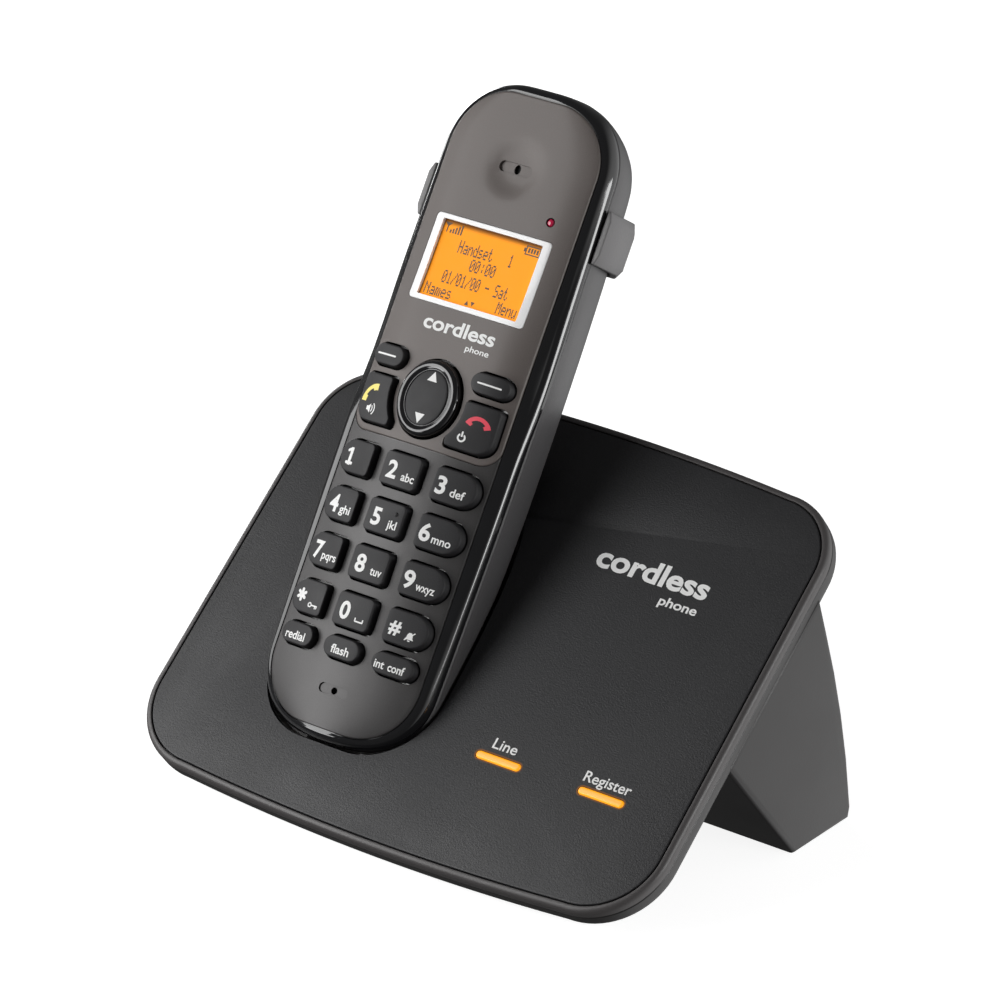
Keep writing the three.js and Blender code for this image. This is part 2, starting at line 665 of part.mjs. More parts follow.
function addPanel(group, hollow) {
  const inset = PLATE.rim + GAP + 0.1;
  let panel = plateSlab([[inset, -PLATE.panel], [inset, 0]]).subtract(hollow);
  for (const bar of Object.values(BARS)) {
    panel = panel.subtract(prism(pillOutline(bar, GAP), -FAR, FAR));
  }
  group.add(toMesh('base_panel', panel, finish.matteBlack()));
}

// Side view of the leg, in table coordinates (depth, height); the top lies inside the plate.
const LEG_PROFILE = [
  [37, 32], [62.3, LEG.footHeight], [82, LEG.footHeight], [83, 3], [82.3, 16],
  [80.9, 28], [78.9, 39.5], [76.4, 50.5], [74, 60.5],
];

const THROAT_TOP = [new THREE.Vector2(67, 90), new THREE.Vector2(20, 53)];

// A convex outline moved inwards by a distance.
function shrunk(points, distance) {
  return points.map((p, i) => {
    const before = points[(i + points.length - 1) % points.length];
    const after = points[(i + 1) % points.length];
    const a = p.clone().sub(before).normalize();
    const b = after.clone().sub(p).normalize();
    const inward = new THREE.Vector2(-a.y - b.y, a.x + b.x).normalize();
    const lean = inward.dot(new THREE.Vector2(-a.y, a.x));
    return p.clone().addScaledVector(inward, distance / lean);
  });
}

// The leg's profile swept across, held between sides that flare out below the plate.
function legBlock(profile, wall) {
  const sweep = prism(profile, -3 * FAR, 3 * FAR).transform(
    new THREE.Matrix4().makeBasis(
      new THREE.Vector3(0, 1, 0),
      new THREE.Vector3(0, 0, 1),
      new THREE.Vector3(1, 0, 0),
    ).elements,
  );
  const flare = (LEG.halfAtFoot - LEG.halfAtPlate) / LEG.footDepth;
  const at = (z) => LEG.halfAtPlate - flare * (z - PLATE.underside) - wall;
  const sides = [
    new THREE.Vector2(-at(0), 0),
    new THREE.Vector2(-at(-80), -80),
    new THREE.Vector2(at(-80), -80),
    new THREE.Vector2(at(0), 0),
  ];
  const trim = prism(sides, -4 * FAR, 3 * FAR).transform(
    new THREE.Matrix4().makeRotationX(Math.PI / 2).elements,
  );
  return tableInPlate(sweep).intersect(trim);
}

const FRONT_FOOT = { x: 52, half: 6, low: 1.5, high: 9, depth: 20 };
const REAR_FOOT = { x: 62, half: 7, low: 66.5, high: 78.5, top: 2.2 };

// Cylinder along the depth of the base, from front to back, in table coordinates.
function barrel(radius, front, back, x, z) {
  const geometry = new THREE.CylinderGeometry(radius, radius, back - front, 16);
  return toSolid(geometry.translate(x, (front + back) / 2, z));
}

// Openings in the leg's rear wall, one for each jack and one for the button.
function rearOpenings() {
  const { boardTop, ethernet, power, button } = JACKS;
  const windows = [ethernet, power].map(({ x, half, height }) => box(
    [x - half - GAP, 74, boardTop + 0.1],
    [x + half + GAP, 95, boardTop + height + 2 * GAP + 0.1],
  ));
  return [...windows, barrel(button.radius + GAP, 75, 95, button.x, button.z)];
}

function addBottomHousing(group) {
  const { parting, underside } = PLATE;
  const top = parting - GAP;
  const floor = underside + PLATE.floor;
  const profile = LEG_PROFILE.map(([y, z]) => new THREE.Vector2(y, z));
  const bulgeInset = POCKET.clearance + POCKET.wall + POCKET.bulgeGap;
  const bulge = pocket(bulgeInset + POCKET.bulgeWall).intersect(halfSpaceBelow(underside + 0.5));
  const bulgeInside = pocket(bulgeInset).intersect(halfSpaceBelow(floor + 0.5));
  let housing = plateSlab([[0.9, underside], [0.2, underside + 0.6], [0, underside + 1.4], [0, top]]);
  housing = housing.add(legBlock(profile, 0)).add(bulge);
  housing = housing.subtract(plateSlab([[2, floor], [2, 1]]));
  housing = housing.subtract(legBlock(shrunk(profile, LEG.wall), LEG.wall)).subtract(bulgeInside);
  // The inside of the leg opens straight into the inside of the plate.
  const throat = plateSlab([[2, underside - 3], [2, 0]]).intersect(
    legBlock(shrunk([...profile.slice(1, -1), ...THROAT_TOP], LEG.wall), LEG.wall),
  );
  housing = housing.subtract(throat);
  for (const opening of rearOpenings()) housing = housing.subtract(tableInPlate(opening));
  for (const side of [-1, 1]) {
    const x = side * BASE_SCREW.x;
    housing = housing.subtract(rod(x, BASE_SCREW.y, BASE_SCREW.head + GAP, -FAR, BASE_SCREW.seat, 14));
    housing = housing.subtract(rod(x, BASE_SCREW.y, BASE_SCREW.bore, -FAR, 0, 10));
    const foot = side * REAR_FOOT.x;
    const low = [foot - REAR_FOOT.half - GAP, REAR_FOOT.low - GAP, -5];
    const high = [foot + REAR_FOOT.half + GAP, REAR_FOOT.high + GAP, REAR_FOOT.top + GAP];
    housing = housing.subtract(tableInPlate(box(low, high)));
  }
  group.add(toMesh('base_bottom_housing', housing, finish.satinBlack()));
}

// ---------------------------------------------------------------- base fittings
function addFeet(group) {
  const { x, half, low, high, depth } = FRONT_FOOT;
  const top = PLATE.underside - GAP;
  const clear = tableInPlate(box([-2 * FAR, -FAR, 0], [2 * FAR, 2 * FAR, FAR]));
  for (const [name, side] of [['left', -1], ['right', 1]]) {
    const under = box([side * x - half, low, top - depth], [side * x + half, high, top]);
    group.add(toMesh(`front_foot_${name}`, under.intersect(clear), finish.rubberBlack()));
    const rear = side * REAR_FOOT.x;
    const from = [rear - REAR_FOOT.half, REAR_FOOT.low, 0];
    const pad = box(from, [rear + REAR_FOOT.half, REAR_FOOT.high, REAR_FOOT.top]);
    group.add(toMesh(`rear_foot_${name}`, tableInPlate(pad), finish.rubberBlack()));
  }
}

function addLightBars(group) {
  for (const [name, bar] of Object.entries(BARS)) {
    group.add(toMesh(name, prism(pillOutline(bar), PLATE.parting, -0.1), finish.amber()));
  }
}

function addBaseBoards(group) {
  const outline = roundedRectangle(8, 66, 21, 104, [3, 3, 9, 3]);
  const thickness = 1.5;
  const top = PLATE.parting - GAP;
  group.add(toMesh('base_pcb', prism(outline, top - thickness, top), finish.board()));
  const { boardTop, boardThickness } = JACKS;
  const board = box([-32, 58, boardTop - boardThickness], [32, 78.8, boardTop]);
  group.add(toMesh('jack_board', tableInPlate(board), finish.board()));
}

function addJacks(group) {
  const { boardTop, ethernet: net, power, button } = JACKS;
  const low = boardTop + GAP;
  const socket = box([net.x - net.socketHalf, 68, low + 2], [net.x + net.socketHalf, 90, low + 9.5]);
  const latch = box([net.x - net.socketHalf / 2, 68, low + 9], [net.x + net.socketHalf / 2, 90, low + 11.5]);
  const shield = box([net.x - net.half, net.front, low], [net.x + net.half, net.back, low + net.height]);
  const jack = shield.subtract(socket).subtract(latch);
  group.add(toMesh('ethernet_jack', tableInPlate(jack), finish.darkMetal()));

  const axis = low + power.height / 2;
  const nearCorner = [power.x - power.half, power.front, low];
  const block = box(nearCorner, [power.x + power.half, power.back, low + power.height]);
  const hollowBlock = block.subtract(barrel(power.bore, power.front + 3, 90, power.x, axis));
  const withPin = hollowBlock.add(barrel(power.pin, power.front + 2, 80, power.x, axis));
  group.add(toMesh('power_jack', tableInPlate(withPin), finish.rubberBlack()));

  const flange = barrel(button.flange, 76.4, 77.4, button.x, button.z);
  const cap = barrel(button.radius, 77, 83.2, button.x, button.z);
  group.add(toMesh('page_button', tableInPlate(cap.add(flange)), finish.rubberGrey()));
}

// A flat cable that joins the jack board to the board under the panel, in table coordinates.
const RIBBON = {
  route: [[26, 63, JACKS.boardTop + 0.6], [26, 60, 24], [26, 56, 35], [26, 51.5, 41.6]],
  half: 5,
  halfThickness: 0.25,
  steps: 10,
};

function addRibbonCable(group) {
  const { half, halfThickness: thin, steps } = RIBBON;
  const route = new THREE.CatmullRomCurve3(RIBBON.route.map((point) => new THREE.Vector3(...point)));
  const corners = [[-half, -thin], [half, -thin], [half, thin], [-half, thin]];
  const strip = new THREE.Shape(corners.map(([x, y]) => new THREE.Vector2(x, y)));
  const cable = new THREE.ExtrudeGeometry(strip, { steps, extrudePath: route });
  group.add(toMesh('ribbon_cable', tableInPlate(toSolid(cable)), finish.steel()));
}

function addChargeContacts(group) {
  const below = bodyAt(0).add(prism(handsetOutline(-0.01), -9, FAR));
  contactSlots(0).forEach((slot, i) => {
    const pin = slot.subtract(shifted(below, 0, 0, -0.35));
    const name = ['left', 'right'][i];
    group.add(toMesh(`charge_contact_${name}`, handsetInPlate(pin), finish.steel()));
  });
}

function addBaseScrews(group) {
  for (const [name, side] of [['left', -1], ['right', 1]]) {
    const x = side * BASE_SCREW.x;
    const { y, head, thickness, seat, shank } = BASE_SCREW;
    const disc = rod(x, y, head, seat - thickness, seat - GAP, 14);
    const screw = disc.add(rod(x, y, shank, seat - thickness / 2, -2.8, 10));
    group.add(toMesh(`base_screw_${name}`, screw, finish.darkMetal()));
  }
}

// ---------------------------------------------------------------- assembly
const holes = faceHoles();
addFrontHousing(handsetGroup, holes);
addFaceplate(handsetGroup, holes);
addDisplay(handsetGroup);
addBackHousing(handsetGroup);
addHandsetInside(handsetGroup);
addKeys(handsetGroup);
addNavigationKey(handsetGroup);
addBeltClip(handsetGroup);

const hollow = pocket(POCKET.clearance);
addTopCover(plateGroup, hollow);
addPanel(plateGroup, hollow);
addBottomHousing(plateGroup);
addFeet(plateGroup);
addLightBars(plateGroup);
addBaseBoards(plateGroup);
addJacks(plateGroup);
addRibbonCable(plateGroup);
addChargeContacts(plateGroup);
addBaseScrews(plateGroup);

plateGroup.add(handsetGroup);
object.add(plateGroup);
object.updateMatrixWorld(true);

// Stand the object over its origin.
const bounds = new THREE.Box3().setFromObject(object, true);
const middle = bounds.getCenter(new THREE.Vector3());
object.position.set(-middle.x, -middle.y, -bounds.min.z);
object.updateMatrixWorld(true);

export default object;
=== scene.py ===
"""A cordless phone in its charging base: the visible surfaces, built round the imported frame.

Shapes are drawn in millimetres in three nested frames and turned into metres when they are placed:
table (z up), plate (y up the slope, z out of the plate's face) and handset (y from microphone to
earpiece, z out of the keypad's face).
"""
import json
import math

import bmesh
import bpy
from mathutils import Matrix, Vector


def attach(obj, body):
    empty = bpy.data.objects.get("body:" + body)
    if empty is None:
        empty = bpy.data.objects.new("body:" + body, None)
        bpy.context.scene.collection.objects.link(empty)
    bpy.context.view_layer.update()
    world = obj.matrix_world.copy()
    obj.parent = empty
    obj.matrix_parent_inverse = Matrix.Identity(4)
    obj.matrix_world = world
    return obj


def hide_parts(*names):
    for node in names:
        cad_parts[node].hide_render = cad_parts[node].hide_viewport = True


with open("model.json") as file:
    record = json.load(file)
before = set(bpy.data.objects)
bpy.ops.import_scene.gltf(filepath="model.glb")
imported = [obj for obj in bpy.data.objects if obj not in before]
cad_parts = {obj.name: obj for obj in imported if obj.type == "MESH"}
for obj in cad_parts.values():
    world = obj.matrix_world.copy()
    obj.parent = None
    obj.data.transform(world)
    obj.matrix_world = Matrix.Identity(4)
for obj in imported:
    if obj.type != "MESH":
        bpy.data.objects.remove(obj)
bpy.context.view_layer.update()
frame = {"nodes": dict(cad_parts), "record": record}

# ---------------------------------------------------------------- frames
MM = 0.001
LIP_HEIGHT = 9.5
PLATE_TILT = 37.4
SEAT = (-22.9, 16.6, 4)
HANDSET_LEAN = 19
REAR_FOOT = (62, 72.5, 0)  # the record's mount, in the table frame

MOUNT = Vector(frame["record"]["mounts"][0]["pos_m"])
TABLE = Matrix.Translation(MOUNT - Vector(REAR_FOOT) * MM) @ Matrix.Diagonal((MM, MM, MM, 1))
TABLE_TO_PLATE = Matrix.Translation((0, 0, LIP_HEIGHT)) @ Matrix.Rotation(math.radians(PLATE_TILT), 4, "X")
PLATE_TO_HANDSET = Matrix.Translation(SEAT) @ Matrix.Rotation(math.radians(HANDSET_LEAN), 4, "X")
PLATE = TABLE @ TABLE_TO_PLATE
HANDSET = PLATE @ PLATE_TO_HANDSET


# ---------------------------------------------------------------- materials
NOISE_RANGE = (0.3, 0.7)  # what the noise node gives nearly everywhere


def material(name, color, roughness, metallic=0.0, coat=0.0, coat_roughness=0.05, emission=None,
             strength=0.0):
    made = bpy.data.materials.new(name)
    made.use_nodes = True
    shader = made.node_tree.nodes["Principled BSDF"]
    shader.inputs["Base Color"].default_value = (*color, 1)
    shader.inputs["Roughness"].default_value = roughness
    shader.inputs["Metallic"].default_value = metallic
    shader.inputs["Coat Weight"].default_value = coat
    shader.inputs["Coat Roughness"].default_value = coat_roughness
    if emission:
        shader.inputs["Emission Color"].default_value = (*emission, 1)
        shader.inputs["Emission Strength"].default_value = strength
    return made


def node(tree, kind, **settings):
    made = tree.nodes.new(kind)
    for key, value in settings.items():
        setattr(made, key, value)
    return made


def noise(tree, scale, detail=2.0, roughness=0.5):
    """Noise in object coordinates; scale is in features per metre."""
    place = node(tree, "ShaderNodeTexCoord")
    made = node(tree, "ShaderNodeTexNoise")
    made.inputs["Scale"].default_value = scale
    made.inputs["Detail"].default_value = detail
    made.inputs["Roughness"].default_value = roughness
    tree.links.new(place.outputs["Object"], made.inputs["Vector"])
    return made


def grain(made, scale, depth, strength=1.0):
    """Fine moulded texture as bump; depth in metres."""
    tree = made.node_tree
    bump = node(tree, "ShaderNodeBump")
    bump.inputs["Strength"].default_value = strength
    bump.inputs["Distance"].default_value = depth
    tree.links.new(noise(tree, scale).outputs["Fac"], bump.inputs["Height"])
    tree.links.new(bump.outputs["Normal"], tree.nodes["Principled BSDF"].inputs["Normal"])
    return made


def set_range(ramp, from_min, from_max, to_min, to_max):
    ramp.inputs["From Min"].default_value = from_min
    ramp.inputs["From Max"].default_value = from_max
    ramp.inputs["To Min"].default_value = to_min
    ramp.inputs["To Max"].default_value = to_max


def worn(made, scale, low, high):
    """Roughness that varies slowly over the surface."""
    tree = made.node_tree
    spread = node(tree, "ShaderNodeMapRange")
    set_range(spread, *NOISE_RANGE, low, high)
    tree.links.new(noise(tree, scale, 4.0).outputs["Fac"], spread.inputs["Value"])
    tree.links.new(spread.outputs["Result"], tree.nodes["Principled BSDF"].inputs["Roughness"])
    return made


def speckled(made, scale, dark, light):
    """Colour that varies from grain to grain."""
    tree = made.node_tree
    mix = node(tree, "ShaderNodeMix", data_type="RGBA")
    mix.inputs["A"].default_value = (*dark, 1)
    mix.inputs["B"].default_value = (*light, 1)
    tree.links.new(noise(tree, scale, 1.0).outputs["Fac"], mix.inputs["Factor"])
    tree.links.new(mix.outputs["Result"], tree.nodes["Principled BSDF"].inputs["Base Color"])
    return made


PANEL = grain(material("panel_matte", (0.018, 0.018, 0.019), 0.5), 2600, 0.00012, 0.5)
PANEL = worn(speckled(PANEL, 3400, (0.01, 0.01, 0.011), (0.023, 0.023, 0.025)), 60, 0.44, 0.52)
SHELL = grain(material("shell_satin", (0.024, 0.0225, 0.0225), 0.46), 2200, 0.00008, 0.25)
SHELL = worn(SHELL, 45, 0.38, 0.46)
COVER = grain(material("cover_satin", (0.07, 0.065, 0.065), 0.42), 2200, 0.00008, 0.25)
COVER = worn(COVER, 45, 0.38, 0.46)
GLOSS = worn(material("gloss_black", (0.008, 0.008, 0.009), 0.1, coat=0.6), 80, 0.08, 0.14)
BACK = grain(material("handset_back", (0.075, 0.073, 0.075), 0.42), 2600, 0.0001, 0.4)
BACK = worn(BACK, 60, 0.38, 0.46)
FIELD = grain(material("keypad_field", (0.055, 0.053, 0.054), 0.42, metallic=0.3), 3000, 0.00006, 0.3)
FIELD = worn(FIELD, 70, 0.36, 0.44)
FIELD = speckled(FIELD, 5200, (0.036, 0.0345, 0.0345), (0.058, 0.0555, 0.0555))
TAUPE = material("faceplate_taupe", (0.115, 0.099, 0.092), 0.55, metallic=0.1, coat=0.1, coat_roughness=0.15)
TAUPE = speckled(grain(TAUPE, 4200, 0.00004, 0.2), 6500, (0.095, 0.081, 0.075), (0.13, 0.112, 0.104))
RUBBER = grain(material("key_rubber", (0.012, 0.0115, 0.013), 0.66), 3200, 0.00008, 0.35)
RUBBER = worn(RUBBER, 90, 0.56, 0.66)
CLIP = grain(material("clip_plastic", (0.15, 0.146, 0.148), 0.42), 2400, 0.0001, 0.45)
PRINT = worn(material("white_print", (0.85, 0.85, 0.84), 0.5), 400, 0.45, 0.55)
YELLOW = worn(material("yellow_print", (0.95, 0.8, 0.2), 0.5), 400, 0.45, 0.55)
RED = worn(material("red_print", (0.85, 0.08, 0.12), 0.5), 400, 0.45, 0.55)
WHITE_FRAME = worn(material("white_frame", (0.86, 0.86, 0.86), 0.3, coat=0.5), 300, 0.26, 0.34)
LCD = material("lcd_orange", (0.8, 0.28, 0.012), 0.6, emission=(1.0, 0.34, 0.018), strength=0.44)
LCD.node_tree.nodes["Principled BSDF"].inputs["Specular IOR Level"].default_value = 0.15
LCD = worn(LCD, 300, 0.55, 0.65)
# Painted shadow on the screen along its top and left edges, where the recess shades it: direction in the
# handset, where the screen is dark, where it is clear.
LCD_EDGE_SHADOWS = (((0, 1, 0), 122.75, 121.2), ((1, 0, 0), -14.3, -13.7))
# share of the screen's colour left in the painted shadow, and the painted shadow's colour
SHADOWED_SHARE = 0.12
SHADOW_COLOR = (0.02, 0.006, 0.001, 1)


def paint_edge_shadows(made, shadows, matrix):
    """Painted shadow: darkens the screen towards some of its edges, in place of the shade that its recess
    casts there.
    """
    tree = made.node_tree
    shader = tree.nodes["Principled BSDF"]
    place_node = node(tree, "ShaderNodeTexCoord")
    shade = None
    to_local = matrix.inverted()
    for direction, dark, clear in shadows:
        row = Vector(direction) @ to_local.to_3x3()
        start = Vector(direction).dot(to_local.translation)
        along = node(tree, "ShaderNodeVectorMath", operation="DOT_PRODUCT")
        along.inputs[1].default_value = row
        tree.links.new(place_node.outputs["Object"], along.inputs[0])
        ramp = node(tree, "ShaderNodeMapRange", interpolation_type="SMOOTHSTEP")
        set_range(ramp, dark - start, clear - start, SHADOWED_SHARE, 1.0)
        tree.links.new(along.outputs["Value"], ramp.inputs["Value"])
        if shade is None:
            shade = ramp.outputs["Result"]
        else:
            product = node(tree, "ShaderNodeMath", operation="MULTIPLY")
            tree.links.new(shade, product.inputs[0])
            tree.links.new(ramp.outputs["Result"], product.inputs[1])
            shade = product.outputs["Value"]
    for socket in ("Base Color", "Emission Color"):
        mix = node(tree, "ShaderNodeMix", data_type="RGBA")
        mix.inputs["A"].default_value = SHADOW_COLOR
        mix.inputs["B"].default_value = shader.inputs[socket].default_value
        tree.links.new(shade, mix.inputs["Factor"])
        tree.links.new(mix.outputs["Result"], shader.inputs[socket])
    return made


# painted shadow at the screen's top and left edges
LCD = paint_edge_shadows(LCD, LCD_EDGE_SHADOWS, HANDSET)
INK = worn(material("lcd_ink", (0.09, 0.04, 0.012), 0.5), 300, 0.45, 0.55)
AMBER = material("light_pipe", (0.8, 0.35, 0.02), 0.3, emission=(1.0, 0.36, 0.008), strength=0.75)
CORE = material("light_core", (0.5, 0.25, 0.05), 0.5, emission=(1.0, 0.45, 0.08), strength=0.72)
# Painted light: a faint orange ring on the panel round each light bar, in place of the bar's light falling on
# the panel.
GLOW = material("light_glow", (0.05, 0.02, 0.004), 0.5, emission=(1.0, 0.3, 0.0), strength=0.1)
LED = worn(material("led_lens", (0.5, 0.01, 0.06), 0.15, coat=0.8), 500, 0.1, 0.2)
# Painted shade: near-black plugs under the earpiece and microphone holes stand in for the shade inside the
# handset.
HOLE_SHADE = worn(material("painted_hole_shade", (0.003, 0.003, 0.003), 0.7), 300, 0.65, 0.8)
BOARD = material("circuit_board", (0.02, 0.12, 0.05), 0.4)
BOARD = speckled(BOARD, 900, (0.015, 0.1, 0.04), (0.03, 0.15, 0.06))
STEEL = worn(material("contact_steel", (0.7, 0.7, 0.72), 0.2, metallic=1.0), 500, 0.15, 0.3)
ZINC = worn(material("zinc", (0.35, 0.35, 0.37), 0.35, metallic=0.9), 500, 0.28, 0.45)
CELL = worn(material("cell_wrap", (0.07, 0.3, 0.13), 0.3, coat=0.3), 200, 0.25, 0.36)
RIBBON = speckled(material("ribbon", (0.6, 0.6, 0.58), 0.5), 700, (0.5, 0.5, 0.49), (0.65, 0.65, 0.63))
FOOT = grain(material("foot_rubber", (0.018, 0.018, 0.018), 0.85), 1800, 0.0002, 0.6)
JACK = grain(material("jack_plastic", (0.015, 0.015, 0.015), 0.45), 2400, 0.00008, 0.4)

CAD_FINISH = {
    "base_shell": SHELL, "base_panel_matte": PANEL, "handset_shell": GLOSS, "handset_back": BACK,
    "faceplate_taupe": TAUPE, "display_frame": WHITE_FRAME, "lcd_screen": LCD, "led_lens": LED,
    "key_rubber": RUBBER, "nav_gloss": GLOSS, "clip_plastic": CLIP, "light_pipe": AMBER,
    "circuit_board": BOARD, "contact_metal": STEEL, "dark_metal": ZINC, "cell_wrap": CELL,
    "jack_plastic": JACK, "ribbon": RIBBON, "foot_rubber": FOOT,
}
for entry in frame["record"]["subparts"]:
    cad_node = frame["nodes"][entry["node"]]
    cad_node.data.materials.clear()
    cad_node.data.materials.append(CAD_FINISH[entry["material_slot"]])


# ---------------------------------------------------------------- building blocks
def new_object(name, mesh):
    made = bpy.data.objects.new(name, mesh)
    bpy.context.scene.collection.objects.link(made)
    return made


def raw(name, points, faces):
    """Object from points in millimetres of a local frame."""
    mesh = bpy.data.meshes.new(name)
    mesh.from_pydata([tuple(p) for p in points], [], faces)
    mesh.validate()
    return new_object(name, mesh)


def evaluated_mesh(piece):
    graph = bpy.context.evaluated_depsgraph_get()
    return bpy.data.meshes.new_from_object(piece.evaluated_get(graph))


def combine(piece, tool, operation="DIFFERENCE"):
    """Cuts the tool from a piece, or joins it on, and removes the tool."""
    change = piece.modifiers.new("combine", "BOOLEAN")
    change.operation = operation
    change.solver = "MANIFOLD"
    change.object = tool
    mesh = evaluated_mesh(piece)
    piece.modifiers.clear()
    piece.data = mesh
    bpy.data.objects.remove(tool)
    return piece


def rounded_edges(piece, width, segments=3, angle=35):
    change = piece.modifiers.new("bevel", "BEVEL")
    change.width = width
    change.segments = segments
    change.limit_method = "ANGLE"
    change.angle_limit = math.radians(angle)
    mesh = evaluated_mesh(piece)
    piece.modifiers.clear()
    piece.data = mesh
    return piece


def place(piece, matrix, finish, body, slot, replaced=(), sharp=32):
    """Puts a finished piece into the row frame on its body."""
    mesh = piece.data
    mesh.transform(matrix)
    mesh.shade_smooth()
    mesh.set_sharp_from_angle(angle=math.radians(sharp))
    mesh.materials.clear()
    mesh.materials.append(finish)
    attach(piece, body)
    if replaced:
        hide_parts(*replaced)
    return piece


def smooth_along(table, x):
    """Smooth curve through pairs (place, value), level outside them."""
    if x <= table[0][0]:
        return table[0][1]
    if x >= table[-1][0]:
        return table[-1][1]
    k = next(i for i in range(len(table) - 1) if x <= table[i + 1][0])
    (x0, y0), (x1, y1) = table[k], table[k + 1]

    def slope(i):
        if i == 0 or i == len(table) - 1:
            return 0.0
        return (table[i + 1][1] - table[i - 1][1]) / (table[i + 1][0] - table[i - 1][0])

    t = (x - x0) / (x1 - x0)
    width = x1 - x0
    return (
        (2 * t**3 - 3 * t**2 + 1) * y0 + (t**3 - 2 * t**2 + t) * width * slope(k)
        + (3 * t**2 - 2 * t**3) * y1 + (t**3 - t**2) * width * slope(k + 1)
    )


def arc(cx, cy, radius, start, end, steps):
    angles = [math.radians(start + (end - start) * i / steps) for i in range(steps + 1)]
    return [Vector((cx + radius * math.cos(a), cy + radius * math.sin(a))) for a in angles]


def rounded(left, right, low, high, radii, steps=6):
    """Rounded rectangle; radii run lower left, lower right, upper right, upper left."""
    r1, r2, r3, r4 = radii
    return (
        arc(left + r1, low + r1, r1, 180, 270, steps) + arc(right - r2, low + r2, r2, 270, 360, steps)
        + arc(right - r3, high - r3, r3, 0, 90, steps) + arc(left + r4, high - r4, r4, 90, 180, steps)
    )


def ellipse(cx, cy, rx, ry, sides=72):
    angles = [2 * math.pi * i / sides for i in range(sides)]
    return [Vector((cx + rx * math.cos(a), cy + ry * math.sin(a))) for a in angles]


def circle(x, y, radius, sides=28):
    return ellipse(x, y, radius, radius, sides)


def mirrored(points):
    return [Vector((-p.x, p.y)) for p in reversed(points)]


def dense(outline, step=0.9):
    """Adds points along the long sides and drops doubled ones."""
    outline = [p for i, p in enumerate(outline) if (p - outline[i - 1]).length > 0.06]
    points = []
    for i, p in enumerate(outline):
        q = outline[(i + 1) % len(outline)]
        parts = max(1, math.ceil((q - p).length / step))
        points += [p.lerp(q, k / parts) for k in range(parts)]
    return points


def inset(points, distance):
    """Closed counter-clockwise outline moved inwards."""
    moved = []
    for i, p in enumerate(points):
        a = (p - points[i - 1]).normalized()
        b = (points[(i + 1) % len(points)] - p).normalized()
        normal = Vector((-a.y - b.y, a.x + b.x)).normalized()
        lean = max(0.5, normal.dot(Vector((-a.y, a.x))))
        moved.append(p + normal * distance / lean)
    return moved


def shrunk(points, factor):
    """Outline scaled towards its middle."""
    middle = sum(points, Vector((0, 0))) / len(points)
    return [middle + (p - middle) * factor for p in points]


def stack(name, rings):
    """Closed body through rings of equal point counts, lowest first, with flat ends."""
    count = len(rings[0])
    faces = [tuple(reversed(range(count)))]
    for ring in range(len(rings) - 1):
        for i in range(count):
            a, b = ring * count + i, ring * count + (i + 1) % count
            faces.append((a, b, b + count, a + count))
    last = (len(rings) - 1) * count
    faces.append(tuple(range(last, last + count)))
    return raw(name, [p for ring in rings for p in ring], faces)


def prism(name, outline, low, high):
    return stack(name, [[(p.x, p.y, z) for p in outline] for z in (low, high)])


def block(name, low, high):
    corners = [(low[0], low[1]), (high[0], low[1]), (high[0], high[1]), (low[0], high[1])]
    return prism(name, [Vector(corner) for corner in corners], low[2], high[2])


def cut(piece, outline, low, high=20):
    """Cuts an upright hole between two heights."""
    return combine(piece, prism("cut", outline, low, high))


def joined(name, pieces):
    """One object from several."""
    work = bmesh.new()
    for piece in pieces:
        work.from_mesh(piece.data)
        bpy.data.objects.remove(piece)
    mesh = bpy.data.meshes.new(name)
    work.to_mesh(mesh)
    work.free()
    return new_object(name, mesh)


# ---------------------------------------------------------------- shape of the handset
BODY = {"half": 23.3, "low": -2.2, "high": 158.4, "corner": 17}
PARTING = -7.3
EDGE = -3  # height of the face at its rims
SHOULDER = 2
RIM = 1.9
RIM_DEPTH = 2.5
TOP_BEND = 136
TOP_LAND = 1.2
LIP, LIP_SHARE = 2, 0.25  # the back's edge curls in over this width, by this share of its depth
BELLY = 9  # width over which the back curls up to the parting line
BACK_STEPS = [4.5, 3, 2, 1.2, 0.7, 0.35, 0.12, 0]  # insets of the rings of the back
# Pairs (place along the handset, value).
CROWN = [(-2.2, 0), (30, 0.9), (70, 1.4), (95, 0.4), (113, -0.6), (158.4, -1.2)]
BACK_DEPTH = [(-2.2, -13), (2, -17), (10, -20), (45, -25), (118, -25), (136, -24)]
FLATNESS = [(70, 2), (95, 5)]
SWELL = [(-2.2, 0.2), (30, 0.9), (60, 1.45), (100, 1.45), (121, 1.1), (158.4, 0.4)]  # of the sides


def half_width(y):
    overrun = max(BODY["low"] + BODY["corner"] - y, y - BODY["high"] + BODY["corner"], 0)
    return BODY["half"] - BODY["corner"] + math.sqrt(max(0, BODY["corner"] ** 2 - overrun**2))


def body_half(y):
    return half_width(y) * (1 + smooth_along(SWELL, y) / BODY["half"])


def face_height(x, y):
    y = min(max(y, BODY["low"]), BODY["high"])
    middle = smooth_along(CROWN, y)
    full = half_width(y)
    reach = full - SHOULDER * min(1, full / BODY["half"])
    return middle - (middle - EDGE) * min(abs(x) / reach, 1.1) ** smooth_along(FLATNESS, y)


def rim_height(x, y, distance):
    """Height of the front shell at a distance inside its outline."""
    inside = min(max(distance, 0), RIM) / RIM
    return face_height(x, y) - RIM_DEPTH * (1 - math.sqrt(max(0, 1 - (1 - inside) ** 2)))


def back_height(x, y, distance=99):
    depth = smooth_along(BACK_DEPTH, y)
    if y > TOP_BEND:
        curl = (y - TOP_BEND) / (BODY["high"] - TOP_BEND)
        depth = PARTING - TOP_LAND + (depth - PARTING + TOP_LAND) * math.sqrt(max(0, 1 - curl**2))
    aside = min(max(body_half(y) - abs(x), 0), BELLY) / BELLY
    depth = PARTING + (depth - PARTING) * math.sqrt(max(0, 1 - (1 - aside) ** 2))
    soft = min(max(distance, 0), LIP) / LIP
    return depth + (PARTING - depth) * LIP_SHARE * (1 - math.sqrt(max(0, 1 - (1 - soft) ** 2)))


